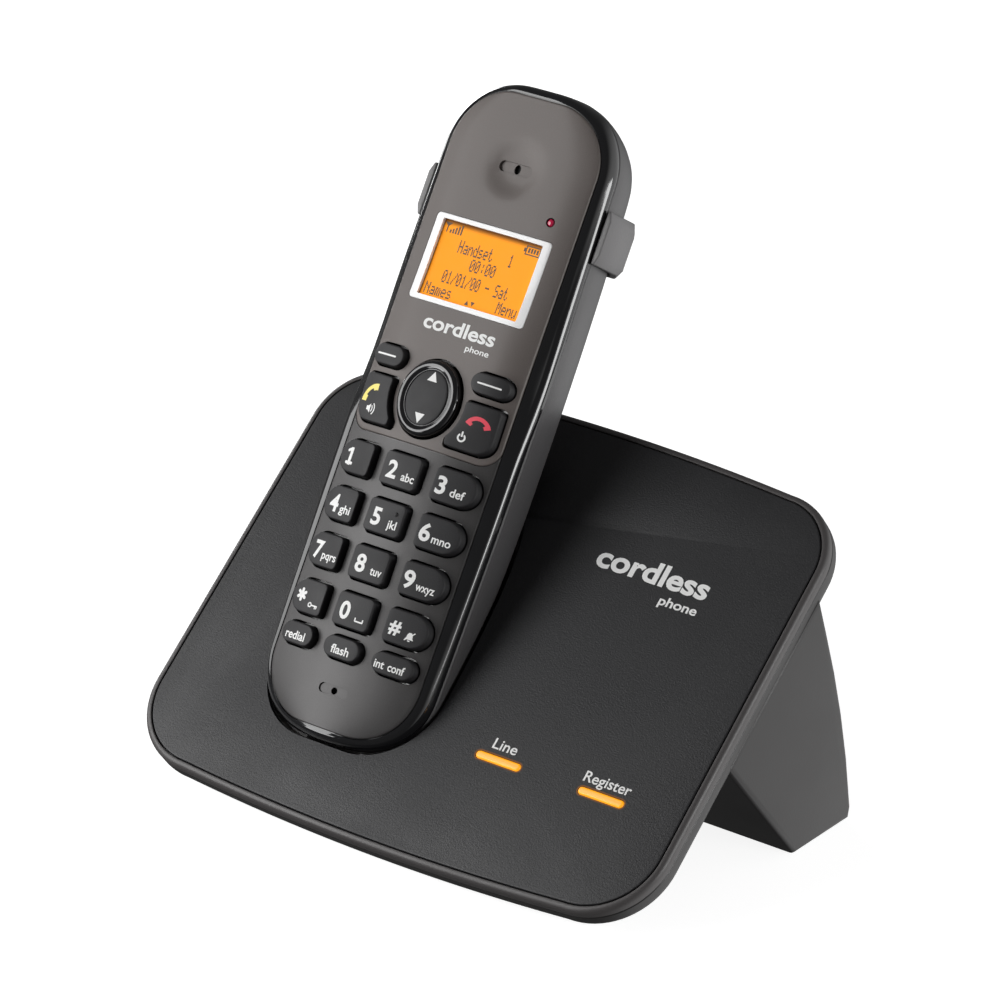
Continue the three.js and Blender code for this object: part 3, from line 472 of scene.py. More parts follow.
def half_outline(half, low, high, r_low, r_high, steps=16, rows=64):
    """Right half of a rounded rectangle from bottom to top, as pairs (point, outward normal)."""
    def bend(x, y, radius, start):
        angles = [math.radians(start + 90 * i / steps) for i in range(steps + 1)]
        normals = [Vector((math.cos(a), math.sin(a))) for a in angles]
        return [(Vector((x, y)) + normal * radius, normal) for normal in normals]

    foot, head = low + r_low, high - r_high
    side = [(Vector((half, foot + (head - foot) * i / rows)), Vector((1, 0))) for i in range(1, rows)]
    return bend(half - r_low, foot, r_low, -90) + side + bend(half - r_high, head, r_high, 0)


def body_outline(grow, steps=22, rows=64):
    """Outline of the handset, whose sides stand out a little in the middle."""
    half, corner = BODY["half"] + grow, BODY["corner"] + grow
    pairs = half_outline(half, BODY["low"] - grow, BODY["high"] + grow, corner, corner, steps, rows)
    return [(Vector((p.x * (1 + smooth_along(SWELL, p.y) / BODY["half"]), p.y)), n) for p, n in pairs]


def slab(name, pairs, rings, columns=28):
    """Closed body over a symmetric outline. rings are pairs (inset, height function of x, y and inset),
    from the lower face to the upper one. The first and last are filled with grids."""
    rows = len(pairs)
    shares = [j / columns for j in range(columns + 1)]
    spread = [0.5 - 0.25 * math.cos(math.pi * t) - 0.25 * (1 - 2 * t) for t in shares]
    points = []
    faces = []

    def add(x, y, ring):
        distance, height = rings[ring]
        points.append((x, y, height(x, y, distance)))
        return len(points) - 1

    loops = []
    for ring, (distance, _) in enumerate(rings):
        spots = [p - n * distance for p, n in pairs]
        right = [add(p.x, p.y, ring) for p in spots]
        top = [add(spots[-1].x * (1 - 2 * s), spots[-1].y, ring) for s in spread[1:-1]]
        left = [add(-p.x, p.y, ring) for p in reversed(spots)]
        bottom = [add(spots[0].x * (2 * s - 1), spots[0].y, ring) for s in spread[1:-1]]
        loops.append(right + top + left + bottom)
    count = len(loops[0])
    for lower, upper in zip(loops, loops[1:]):
        for i in range(count):
            k = (i + 1) % count
            faces.append((lower[i], lower[k], upper[k], upper[i]))
    for ring in (0, len(rings) - 1):
        loop = loops[ring]
        spots = [p - n * rings[ring][0] for p, n in pairs]
        grid = []
        for row, p in enumerate(spots):
            first = loop[rows + columns - 1 + rows - 1 - row]
            last = loop[row]
            if row == 0:
                inner = loop[2 * rows + columns - 1:]
            elif row == rows - 1:
                inner = list(reversed(loop[rows:rows + columns - 1]))
            else:
                inner = [add(p.x * (2 * s - 1), p.y, ring) for s in spread[1:-1]]
            grid.append([first, *inner, last])
        for low_row, high_row in zip(grid, grid[1:]):
            for j in range(columns):
                quad = (low_row[j], low_row[j + 1], high_row[j + 1], high_row[j])
                faces.append(quad if ring else tuple(reversed(quad)))
    return raw(name, points, faces)


def face(lift):
    return lambda x, y, distance: face_height(x, y) + lift


def level(z):
    return lambda x, y, distance: z


# ---------------------------------------------------------------- keys
PAD = {"row_top": 63, "pitch": 11.5, "height": 8.3, "middle": 5.3, "near": 8.9, "far": 19.8, "corner": 1.4}
PILLS = {
    "key_redial": (-13.9, 19.5, 10.4, 5.4), "key_flash": (0, 19.5, 10.4, 5.4),
    "key_conference": (13.9, 19.5, 10.8, 5.4), "softkey_left": (-14.7, 88.1, 10, 5.2),
    "softkey_right": (14.7, 88.1, 10, 5.2),
}
CALL = {"low": 71.7, "high": 83.4, "outer": 19.6, "round": 4, "corner": 1.4, "hug": 11.8}
NAV = {"y": 81, "rx": 8.3, "ry": 9.3, "inner_x": 5.6, "inner_y": 6.8, "gap": 0.08}
TACTILE_DOT = (3.0, 53.0)
TACTILE_PROFILE = [(0.5, -0.3), (0.48, 0.1), (0.34, 0.32), (0.12, 0.4)]  # radius, height over the cap
ROWS = [("1", "2", "3"), ("4", "5", "6"), ("7", "8", "9"), ("star", "0", "hash")]
KEY_RISE = 2
KEY_GAP = 0.45
NAV_GAP = KEY_GAP + 0.1
KEY_FOOT = -3.2
POCKET_FLOOR = -7
BEND_STEPS = 5


def pad_key(column, row, grow=0.0):
    y = PAD["row_top"] - row * PAD["pitch"]
    end = PAD["height"] / 2 + grow
    corner = PAD["corner"] + grow * 0.5
    if column == 0:
        half = PAD["middle"] + grow
        return rounded(-half, half, y - end, y + end, [corner] * 4)
    radii = [corner, end - 0.05, end - 0.05, corner]
    shape = rounded(PAD["near"] - grow, PAD["far"] + grow, y - end, y + end, radii, 9)
    return shape if column > 0 else mirrored(shape)


def pill(x, y, width, height, grow=0.0, steps=9):
    half_w, half_h = width / 2 + grow, height / 2 + grow
    return rounded(x - half_w, x + half_w, y - half_h, y + half_h, [half_h - 0.02] * 4, steps)


def call_key(side, grow=0.0):
    """The inner edge of a call key is an arc about the navigation key."""
    low, high, outer = CALL["low"] - grow, CALL["high"] + grow, CALL["outer"] + grow
    hug, big, small = CALL["hug"] - grow, CALL["round"], CALL["corner"]
    top = math.degrees(math.asin((high - 1.2 - NAV["y"]) / hug))
    foot = math.degrees(math.asin((low + 2.2 - NAV["y"]) / hug))
    inner = arc(-small, NAV["y"], hug, top, foot, 10)
    tip = inner[-1]
    shape = (
        inner
        + arc(tip.x + 1.1, low + 1.1, 1.1, 190, 270, 5)
        + arc(outer - big, low + big, big, 270, 360, 8)
        + arc(outer - small, high - small, small, 0, 90, 5)
        + arc(inner[0].x + 1.1, high - 1.1, 1.1, 90, 160, 5)
    )
    return shape if side > 0 else mirrored(shape)


KEYS = {f"key_{name}": (lambda grow, c=c - 1, r=r: pad_key(c, r, grow))
        for r, names in enumerate(ROWS) for c, name in enumerate(names)}
KEYS.update({name: (lambda grow, shape=shape: pill(*shape, grow)) for name, shape in PILLS.items()})
KEYS["talk_key"] = lambda grow: call_key(-1, grow)
KEYS["end_key"] = lambda grow: call_key(1, grow)


def nav_outline(grow):
    return ellipse(0, NAV["y"], NAV["rx"] + grow, NAV["ry"] + grow)


def over_face(outline, lift):
    return [(p.x, p.y, face_height(p.x, p.y) + lift) for p in outline]


def key_body(name, outline, rise, edge=0.38, draft=0.14):
    """Cap with drafted sides, a rounded edge and a top that follows the face."""
    outline = dense(outline)
    rings = [[(p.x, p.y, KEY_FOOT + face_height(p.x, p.y)) for p in outline]]
    rings.append(over_face(outline, -0.5))
    rings.append(over_face(inset(outline, draft), rise - edge))
    for step in range(1, BEND_STEPS + 1):
        a = math.radians(90 * step / BEND_STEPS)
        ring = inset(outline, draft + edge * (1 - math.cos(a)))
        rings.append(over_face(ring, rise - edge + edge * math.sin(a)))
    top = inset(outline, draft + edge)
    for factor in (0.8, 0.55, 0.3, 0.08):
        rings.append(over_face(shrunk(top, factor), rise))
    return stack(name, rings)


def make_keys():
    for name, outline in KEYS.items():
        cap = key_body(f"{name}_cap", outline(0), KEY_RISE)
        if name == "key_5":
            rings = [over_face(circle(*TACTILE_DOT, radius, 20), KEY_RISE + lift)
                     for radius, lift in TACTILE_PROFILE]
            combine(cap, stack("dot", rings), "UNION")
        place(cap, HANDSET, RUBBER, name, "key_rubber", [name])


# Section of the navigation ring: distance inside its outline, height over the face.
RING_CREST = [(0, 0.7), (0.08, 1.25), (0.3, 1.72), (0.6, 2.02), (1.0, 2.24), (1.4, 2.26)]
RING_CREST += [(2.0, 2.08), (2.5, 1.86)]
RING_STEP = 0.08


def nav_disc_lift(x, y):
    """Height of the navigation disc over the face."""
    edge = NAV["gap"] + 0.2
    out = (x / (NAV["inner_x"] - edge)) ** 2 + ((y - NAV["y"]) / (NAV["inner_y"] - edge)) ** 2
    return 1.88 + 0.3 * (1 - min(1, out))


def make_navigation_key():
    outline = nav_outline(0)
    steps = [k * RING_STEP for k in range(32)]
    profile = [(0, KEY_FOOT)] + [(d, smooth_along(RING_CREST, d)) for d in steps] + [(2.55, 1.9), (2.62, 1.3)]
    rings = [over_face(inset(outline, distance), lift) for distance, lift in profile]
    for factor in (0.6, 0.1):
        rings.append(over_face(shrunk(inset(outline, 2.62), factor), 1.3))
    place(stack("nav_ring", rings), HANDSET, GLOSS, "nav_key", "nav_gloss", ["nav_key"], sharp=50)
    disc = ellipse(0, NAV["y"], NAV["inner_x"] - NAV["gap"], NAV["inner_y"] - NAV["gap"])
    rings = [over_face(inset(disc, d), lift) for d, lift in ((0, 1.25), (0, 1.7), (0.06, 1.82), (0.2, 1.88))]
    for factor in (0.9, 0.78, 0.65, 0.5, 0.35, 0.2, 0.06):
        ring = shrunk(inset(disc, 0.2), factor)
        rings.append([(p.x, p.y, face_height(p.x, p.y) + nav_disc_lift(p.x, p.y)) for p in ring])
    place(stack("nav_disc_cap", rings), HANDSET, RUBBER, "nav_key", "key_rubber", ["nav_disc"], sharp=50)


# ---------------------------------------------------------------- handset shells
FACE = {"half": 21.1, "low": 0.4, "high": 155.9, "corner": 14.8}
PLATE_SEAM = 69.7
PLATE_CORNER = 5
WINDOW = {"half": 16.55, "low": 102.8, "high": 124.1, "corner": 1.0}
LCD_AREA = {"half": 14.3, "low": 104.1, "high": 122.9}
LCD_DEPTH = 1.05
EAR = (0.0, 138.5)
MIC = (0.4, 9.6)
LED_SPOT = (14.1, 128.6)
DISH = {"radius": 8.4, "floor": 3.2, "depth": 0.85}
RECESS = 0.8


def dish(x, y):
    """Shallow hollow round the earpiece slot."""
    r = math.hypot(x - EAR[0], y - EAR[1])
    t = min(1, max(0, (r - DISH["floor"]) / (DISH["radius"] - DISH["floor"])))
    return DISH["depth"] * (1 - t * t * (3 - 2 * t))


def layer(name, pairs, top, thickness, edge):
    """Plate that follows a height function, with a rounded upper edge."""
    rings = [(edge * 0.4, lambda x, y, d: top(x, y) - thickness), (0, lambda x, y, d: top(x, y) - edge)]
    for step in range(1, 5):
        a = math.radians(90 * step / 4)
        drop = edge * (1 - math.sin(a))
        rings.append((edge * (1 - math.cos(a)), lambda x, y, d, drop=drop: top(x, y) - drop))
    return slab(name, pairs, rings)


def make_front_shell():
    outline = body_outline(0)
    rings = [(0.35, level(PARTING + 0.25)), (0.05, level(PARTING + 0.4)), (0, level(PARTING + 0.7))]
    rings += [(RIM * (1 - math.cos(math.radians(a))), rim_height) for a in range(0, 91, 9)]
    rings += [(3.2, rim_height)]
    shell = slab("front_shell", outline, rings)
    gap, corner = 0.22, FACE["corner"] + 0.22
    recess = half_outline(FACE["half"] + gap, FACE["low"] - gap, FACE["high"] + gap, corner, corner, 22)
    combine(shell, slab("cut", recess, [(0, face(-RECESS)), (0, level(12))]))
    for outline in KEYS.values():
        cut(shell, outline(KEY_GAP), POCKET_FLOOR)
    cut(shell, nav_outline(NAV_GAP), POCKET_FLOOR)
    cut(shell, circle(*EAR, 8.6, 48), -3.6)
    cut(shell, circle(*MIC, 1.1), POCKET_FLOOR)
    cut(shell, circle(*LED_SPOT, 1.4), -4)
    cut(shell, window_outline(0.3), -3)
    place(shell, HANDSET, GLOSS, "handset", "handset_shell", ["handset_front_housing", "keypad_membrane"])


def window_outline(grow):
    half, corner = WINDOW["half"] + grow, WINDOW["corner"] + grow
    return rounded(-half, half, WINDOW["low"] - grow, WINDOW["high"] + grow, [corner] * 4)


def make_keypad_field():
    pairs = half_outline(FACE["half"], FACE["low"], PLATE_SEAM + PLATE_CORNER, FACE["corner"], 0.3, 22, 44)
    field = layer("keypad_field", pairs, face_height, 0.78, 0.3)
    edge, foot = FACE["half"] + 0.2, PLATE_SEAM - 0.12
    round_foot = [PLATE_CORNER + 0.2, PLATE_CORNER + 0.2, 1, 1]
    cut(field, rounded(-edge, edge, foot, foot + 40, round_foot, 14), -20)
    names = [f"key_{name}" for row in ROWS for name in row] + ["key_redial", "key_flash", "key_conference"]
    for name in names:
        cut(field, KEYS[name](KEY_GAP), POCKET_FLOOR)
    cut(field, circle(*MIC, 0.85), -9)
    cut(field, pill(0.3, MIC[1], 8.2, 2.4), face_height(*MIC) - 0.5)
    place(field, HANDSET, FIELD, "handset", "handset_shell")


def faceplate_height(x, y):
    return face_height(x, y) + 0.25 - dish(x, y)


def make_faceplate():
    pairs = half_outline(FACE["half"], PLATE_SEAM, FACE["high"], PLATE_CORNER, FACE["corner"], 22, 60)
    plate = layer("faceplate", pairs, faceplate_height, 0.95, 0.4)
    for name in ("softkey_left", "softkey_right", "talk_key", "end_key"):
        cut(plate, KEYS[name](KEY_GAP), POCKET_FLOOR)
    cut(plate, nav_outline(NAV_GAP), POCKET_FLOOR)
    cut(plate, window_outline(0.06), POCKET_FLOOR)
    cut(plate, pill(-0.2, EAR[1], 9.2, 2.7), faceplate_height(*EAR) - 0.52)
    cut(plate, ellipse(*EAR, 0.85, 1.15, 28), POCKET_FLOOR)
    cut(plate, circle(*LED_SPOT, 1.15), POCKET_FLOOR)
    place(plate, HANDSET, TAUPE, "handset", "faceplate_taupe", ["handset_faceplate"])
    # near-black plugs under the earpiece and microphone holes: painted shade seen through them
    shade_plugs = [prism("hole", circle(*EAR, 1.4, 24), -4.4, -3.2), prism("hole", circle(*MIC, 1, 24), -4, -2)]
    place(joined("hole_shade_plugs", shade_plugs), HANDSET, HOLE_SHADE, "handset", "handset_shell")


def lcd_height(_, y):
    return face_height(0, y) - LCD_DEPTH


def make_display():
    corner = WINDOW["corner"]
    pairs = half_outline(WINDOW["half"], WINDOW["low"], WINDOW["high"], corner, corner, 6, 40)
    frame_piece = layer("display_bezel", pairs, lambda x, y: face_height(x, y) + 0.2, 1.5, 0.18)
    half, low, high = LCD_AREA["half"], LCD_AREA["low"], LCD_AREA["high"]
    cut(frame_piece, rounded(-half, half, low, high, [0.35] * 4), -20)
    place(frame_piece, HANDSET, WHITE_FRAME, "handset", "display_frame", ["display_window"])
    pairs = half_outline(half + 0.4, low - 0.4, high + 0.4, 0.3, 0.3, 3, 30)
    rings = [(0, lambda x, y, d: lcd_height(x, y) - 0.6), (0, lambda x, y, d: lcd_height(x, y))]
    screen = slab("lcd_panel", pairs, rings)
    place(screen, HANDSET, LCD, "handset", "lcd_screen", ["lcd_module"])
    make_lcd_words()


def make_message_led():
    profile = [(0.9, -2.6), (0.9, -0.15), (0.82, 0.06), (0.6, 0.2), (0.32, 0.27), (0.08, 0.28)]
    rings = [over_face(circle(*LED_SPOT, radius), lift) for radius, lift in profile]
    place(stack("message_led_lens", rings), HANDSET, LED, "handset", "led_lens", ["message_led"], sharp=50)


DOOR = (15.1, 42.4, 91.6, 2.8)  # half width, low, high, corner
DOOR_GAP = 0.25
SPEAKER_SLOTS = (104.7, 108.7, 112.7, 116.7)
BACK_SCREW = (16.2, 97)
PAD_X = 7  # the two charge contacts


def make_back_shell():
    outline = body_outline(-0.12)
    rings = [(distance, back_height) for distance in BACK_STEPS]
    rings += [(0, level(PARTING - 0.45)), (0.3, level(PARTING - 0.05))]
    shell = slab("back_shell", outline, rings)
    half, low, high, corner = DOOR
    door = half_outline(half + DOOR_GAP, low - DOOR_GAP, high + DOOR_GAP, corner + 0.2, corner + 0.2, 6, 30)
    combine(shell, slab("cut", door, [(0, level(-40)), (0, lambda x, y, d: back_height(x, y) + 1.6)]))
    for y in SPEAKER_SLOTS:
        cut(shell, pill(0, y, 12, 1.4, steps=5), -40, -23.2)
    for side in (-1, 1):
        cut(shell, circle(side * BACK_SCREW[0], BACK_SCREW[1], 2.5, 32), -40, -15.5)
        pad = rounded(side * PAD_X - 2.35, side * PAD_X + 2.35, 4.85, 10.15, [0.5] * 4)
        cut(shell, pad, -40, -16.6)
    place(shell, HANDSET, BACK, "handset", "handset_back", ["handset_back_housing"])


def make_battery_door():
    pairs = half_outline(*DOOR, DOOR[-1], 6, 30)
    profile = ((1.2, 0), (0.4, 0.1), (0, 0.45), (0, 1.5))
    rings = [(distance, lambda x, y, d, lift=lift: back_height(x, y) + lift) for distance, lift in profile]
    door = slab("battery_lid", pairs, rings)
    for k in range(5):
        y = 84 - k * 1.8
        cut(door, pill(0, y, 11 - k * 1.4, 0.7, steps=4), -40, -24.6)
    place(door, HANDSET, BACK, "handset", "handset_back", ["battery_door"])


# ---------------------------------------------------------------- belt clip
CLIP_OUTER = [(20.5, -28), (26.4, -18), (26.4, -6.3)]
CLIP_INNER = [(24.7, -6.3), (24.7, -13), (23.2, -19), (19.6, -24), (15, -25.7)]
CLIP_LOW, CLIP_HIGH = 122.5, 135.5
CLIP_CHAMFER = (0.9, 2.4)  # how far in, over how long
CLIP_SLOPE = 16


def make_belt_clip():
    rings = []
    depth, length = CLIP_CHAMFER
    for y, slim in ((CLIP_LOW, depth), (CLIP_LOW + length, 0), (CLIP_HIGH - length, 0), (CLIP_HIGH, depth)):
        outer = [(x - slim, z + slim * (z < -20)) for x, z in CLIP_OUTER]
        right = [Vector(p) for p in outer + CLIP_INNER]
        rings.append([(p.x, y, p.y) for p in reversed(right + mirrored(right))])
    clip = stack("belt_clip_body", rings)
    slope = block("cut", (-40, 0, -60), (40, 20, 0))
    lean = Matrix.Rotation(math.radians(CLIP_SLOPE), 4, "X")
    slope.data.transform(Matrix.Translation((0, CLIP_HIGH, -5)) @ lean)
    combine(clip, slope)
    combine(clip, block("join", (-6, CLIP_LOW + 3, -30.4), (6, CLIP_HIGH - 4, -27)), "UNION")
    tongue = prism("join", rounded(-9, 9, 95.5, CLIP_HIGH - 3, [5, 5, 2, 2], 8), -31.8, -30.2)
    combine(clip, tongue, "UNION")
    combine(clip, block("join", (-6, 96.5, -30.4), (6, 98, -29.2)), "UNION")
    rounded_edges(clip, 0.35)
    place(clip, HANDSET, CLIP, "belt_clip", "clip_plastic", ["belt_clip"])


# ---------------------------------------------------------------- base
FRONT, REAR = -4.7, 112.6
FRONT_CORNER = (54.9, 16.5, 19)
REAR_CORNER = (56.4, 93.2, 17)
SEAM = -2.7
LEDGE = 1.68  # width of the rim round the panel
UNDERSIDE = -7
POCKET_GAP = 0.8
CUP_WALL = 1.8
PIN_SLOT = {"x": (-7, 7), "half": 1.4, "low": 6.2, "high": 8.8}  # in the handset's frame
BARS = {"network_light_bar": 21.9, "status_light_bar": 50.6}
BAR_Y, BAR_WIDTH, BAR_HEIGHT = 25.4, 12.4, 1.9


def bar_outline(x, grow=0.0):
    return pill(x, BAR_Y, BAR_WIDTH, BAR_HEIGHT, grow)


def plate_outline(distance=0.0, steps=18):
    """The front and rear edges bow out between the corner arcs."""
    fx, fy, fr = FRONT_CORNER
    rx, ry, rr = REAR_CORNER
    front_bow, rear_bow = fy - fr - FRONT, REAR - ry - rr
    span = [i / 12 - 0.96 for i in range(1, 23)]
    points = [Vector((t * fx, FRONT + front_bow * t * t + distance)) for t in span]
    points += arc(fx, fy, fr - distance, 270, 360, steps) + arc(rx, ry, rr - distance, 0, 90, steps)
    points += [Vector((-t * rx, REAR - rear_bow * t * t - distance)) for t in span]
    points += arc(-rx, ry, rr - distance, 90, 180, steps) + arc(-fx, fy, fr - distance, 180, 270, steps)
    return points


def plate_slab(name, profile):
    return stack(name, [[(p.x, p.y, z) for p in plate_outline(distance)] for distance, z in profile])


def handset_hull(name, grow):
    """The handset's closed outer form, grown by a clearance and swept out through its face."""
    share = BODY["half"] / (BODY["half"] + grow)
    rings = [(distance, lambda x, y, d: back_height(x * share, y, d) - grow) for distance in BACK_STEPS]
    rings.append((0, level(70)))
    hull = slab(name, body_outline(grow, 20, 40), rings)
    hull.data.transform(PLATE_TO_HANDSET)
    return hull


def below(name, z):
    return block(name, (-120, -80, -120), (120, 200, z))


def make_top_cover():
    rim = [(0, SEAM + 0.12), (0, -1.5), (0.08, -1.0), (0.3, -0.55), (0.62, -0.22), (1.0, -0.04), (1.3, 0)]
    rim += [(1.55, -0.02), (LEDGE, -0.15)]
    cover = plate_slab("top_cover", rim)
    combine(cover, plate_slab("cut", [(LEDGE, -1.5), (LEDGE, 1)]))
    cup = handset_hull("cup", POCKET_GAP + CUP_WALL)
    combine(cup, below("keep", -1.7), "INTERSECT")
    combine(cover, cup, "UNION")
    combine(cover, handset_hull("cut", POCKET_GAP))
    for x in PIN_SLOT["x"]:
        low, high = (x - PIN_SLOT["half"], PIN_SLOT["low"], -24), (x + PIN_SLOT["half"], PIN_SLOT["high"], 0)
        slot = block("cut", low, high)
        slot.data.transform(PLATE_TO_HANDSET)
        combine(cover, slot)
    for x in BARS.values():
        cut(cover, bar_outline(x, 0.15), -20)
    place(cover, PLATE, COVER, "base", "base_shell", ["base_top_cover"])


def make_panel():
    edge = LEDGE + 0.3
    profile = [(edge, -1.2), (edge, -0.3), (edge + 0.06, -0.14), (edge + 0.2, -0.03), (edge + 0.4, 0)]
    panel = plate_slab("panel", profile)
    combine(panel, handset_hull("cut", POCKET_GAP))
    for x in BARS.values():
        cut(panel, bar_outline(x, 0.12), -20)
    place(panel, PLATE, PANEL, "base", "base_panel_matte", ["base_panel"])


# Distance inside the outline, height over the panel.
BAR_PROFILES = {
    "lens": ((0, -2.6), (0, -0.1), (0.12, 0.15), (0.35, 0.3), (0.7, 0.36)),
    "core": ((0.42, 0.2), (0.46, 0.37), (0.62, 0.42)),
}


def make_light_bars():
    for name, x in BARS.items():
        lens, core = [
            stack(f"{name}_{part}", [[(p.x, p.y, z) for p in inset(bar_outline(x), d)] for d, z in profile])
            for part, profile in BAR_PROFILES.items()
        ]
        place(lens, PLATE, AMBER, "base", "light_pipe", [name])
        place(core, PLATE, CORE, "base", "light_pipe")
        # a ring of painted light on the panel round the bar
        halo = prism(f"{name}_glow", bar_outline(x, 0.45), -0.3, 0.015)
        cut(halo, bar_outline(x, 0.12), -1, 1)
        place(halo, PLATE, GLOW, "base", "light_pipe")


# Side view of the leg in the table frame.
LEG_PROFILE = [(37, 32), (60.5, 0.2), (82, 0.2), (83, 3), (82.3, 16), (80.9, 28)]
LEG_PROFILE += [(78.9, 39.5), (76.4, 50.5), (74, 60.5)]
LEG_HALF_TOP, LEG_HALF_FOOT, LEG_DEPTH = 74.1, 78.8, 52
LEG_EDGE = 1.6
ETHERNET = ((-8.2, 66, 13.65), (8.2, 95, 27.4))
POWER_INLET = ((14.3, 68, 13.65), (23.7, 95, 25))
PAGE = {"x": -21, "z": 21, "radius": 3.45, "flange": 5, "from": 75.6, "to": 77.9}
SCREW_SPOT, SCREW_BORE = (61, 14), 3.0


def in_table(cutter):
    """Moves a cutter drawn in the table frame."""
    cutter.data.transform(TABLE_TO_PLATE.inverted())
    return cutter


def rear_bore(radius, start, end=95):
    outline = circle(PAGE["x"], PAGE["z"], radius, 40)
    return in_table(stack("cut", [[(p.x, y, p.y) for p in reversed(outline)] for y in (start, end)]))


def make_bottom_housing():
    profile = [(1.3, 0), (0.75, 0.2), (0.3, 0.65), (0.08, 1.3), (0, 2)]
    profile = [(distance, UNDERSIDE + rise) for distance, rise in profile] + [(0, SEAM - 0.45), (0.3, SEAM)]
    housing = plate_slab("bottom_housing", profile)
    profile = [Vector(p) for p in LEG_PROFILE]
    to_plate = TABLE_TO_PLATE.inverted()
    flare = (LEG_HALF_FOOT - LEG_HALF_TOP) / LEG_DEPTH
    rings = []
    for side in (-1, 1):
        half = []
        for step in range(5):
            a = math.radians(90 * step / 4)
            ring = []
            for p in inset(profile, LEG_EDGE * (1 - math.sin(a))):
                depth = -(to_plate @ Vector((0, p.x, p.y))).z
                x = LEG_HALF_TOP + flare * (depth + UNDERSIDE) - LEG_EDGE * (1 - math.cos(a))
                ring.append(to_plate @ Vector((side * x, p.x, p.y)))
            half.append(ring)
        rings += half if side < 0 else list(reversed(half))
    combine(housing, stack("leg", rings), "UNION")
    bulge = handset_hull("bulge", POCKET_GAP + CUP_WALL + 2.3)
    combine(bulge, below("keep", UNDERSIDE + 0.5), "INTERSECT")
    combine(housing, bulge, "UNION")
    combine(housing, handset_hull("cut", POCKET_GAP + CUP_WALL + 0.05))
    for low, high in (ETHERNET, POWER_INLET):
        combine(housing, in_table(block("cut", low, high)))
    combine(housing, rear_bore(PAGE["radius"], PAGE["from"] - 0.4))
    combine(housing, rear_bore(PAGE["flange"], PAGE["from"] - 0.6, PAGE["to"]))
    for side in (-1, 1):
        cut(housing, circle(side * SCREW_SPOT[0], SCREW_SPOT[1], SCREW_BORE, 40), -20, -6)
    place(housing, PLATE, SHELL, "base", "base_shell", ["base_bottom_housing"])


# ---------------------------------------------------------------- prints
PRINT_RISE = 0.035
CAP_SHARE = 0.729  # height of a capital in the built-in font, as a share of its size
DRAPE_STEP = 1.3


def lettering(words, x, y, cap, width=None, bold=0.0):
    """Flat words with capitals of one height, centred on x and standing on the line y."""
    curve = bpy.data.curves.new("words", "FONT")
    curve.body = words
    curve.size = cap / CAP_SHARE
    curve.offset = bold
    curve.extrude = PRINT_RISE
    curve.resolution_u = 4
    source = new_object("words", curve)
    mesh = evaluated_mesh(source)
    bpy.data.objects.remove(source)
    ends = [v.co.x for v in mesh.vertices]
    left, right = min(ends), max(ends)
    stretch = width / (right - left) if width else 1
    shift = Matrix.Translation((x - stretch * (left + right) / 2, y, 0))
    mesh.transform(shift @ Matrix.Diagonal((stretch, 1, 1, 1)))
    return new_object("words", mesh)


def mark(outline):
    return prism("mark", outline, -PRINT_RISE, PRINT_RISE)


def polygon(*points):
    return mark([Vector(p) for p in points])


def bar(x, y, length, thickness, angle=0.0):
    """Straight stroke with round ends."""
    shape = pill(0, 0, length, thickness, steps=4)
    turn = Matrix.Rotation(math.radians(angle), 2)
    return mark([turn @ p + Vector((x, y)) for p in shape])


def band(x, y, radius, thickness, start, end, steps=12):
    return mark(arc(x, y, radius, start, end, steps) + arc(x, y, radius - thickness, end, start, steps))


def receiver(x, y, radius, start, end, thickness=0.95, lobe=1.55, lobe_turn=24):
    """Telephone receiver: an arc with a lobe at either end."""
    return mark(
        arc(x, y, radius, start, end, 16)
        + arc(x, y, radius - lobe, end, end - lobe_turn, 4)
        + arc(x, y, radius - thickness, end - lobe_turn, start + lobe_turn, 8)
        + arc(x, y, radius - lobe, start + lobe_turn, start, 4)
    )


def drape(name, pieces, height, body, finish=PRINT, slot="display_frame", matrix=HANDSET):
    """Joins flat prints and lays them over a surface."""
    print_piece = joined(name, pieces)
    work = bmesh.new()
    work.from_mesh(print_piece.data)
    ends = [v.co.x for v in work.verts]
    cuts = math.floor((max(ends) - min(ends)) / DRAPE_STEP)
    for k in range(1, cuts + 1):
        everything = work.verts[:] + work.edges[:] + work.faces[:]
        spot = (min(ends) + k * DRAPE_STEP, 0, 0)
        bmesh.ops.bisect_plane(work, geom=everything, plane_co=spot, plane_no=(1, 0, 0))
    for v in work.verts:
        v.co.z += height(v.co.x, v.co.y)
    work.to_mesh(print_piece.data)
    work.free()
    place(print_piece, matrix, finish, body, slot)


def key_top(x, y):
    return face_height(x, y) + KEY_RISE


LETTERS = {"2": "abc", "3": "def", "4": "ghi", "5": "jkl", "6": "mno", "7": "pqrs", "8": "tuv", "9": "wxyz"}
LETTER_WIDTH = {"ghi": 3.5, "jkl": 2.5, "mno": 4.6, "pqrs": 4.7, "tuv": 3.1, "wxyz": 4.6}
SMALL_KEY_WORDS = {  # word, x, y, height of a capital, width
    "redial": [("redial", -14.2, 18.0, 2.1, 6.3)],
    "flash": [("flash", 0, 18.0, 2.1, 5.1)],
    "conference": [("int", 10.9, 18.1, 2.0, 2.6), ("conf", 15.2, 18.1, 2.0, 4.1)],
}
DIGIT_X = (-15.9, -2.1, 11.3)
LETTER_X = (-11.9, 2.65, 15.6)


def star_mark(x, y):
    return [bar(x, y, 3.3, 0.78, angle) for angle in (90, 30, 150)]


def lock_mark(x, y):
    """A small key."""
    return [
        band(x - 0.9, y, 0.62, 0.3, 0, 360, 18), bar(x + 0.55, y, 2.0, 0.34),
        bar(x + 0.9, y - 0.38, 0.7, 0.3, 90), bar(x + 1.35, y - 0.32, 0.6, 0.3, 90),
    ]


def space_mark(x, y):
    ends = [bar(x + side * 1.05, y + 0.35, 0.9, 0.34, 90) for side in (-1, 1)]
    return [bar(x, y, 2.4, 0.34), *ends]


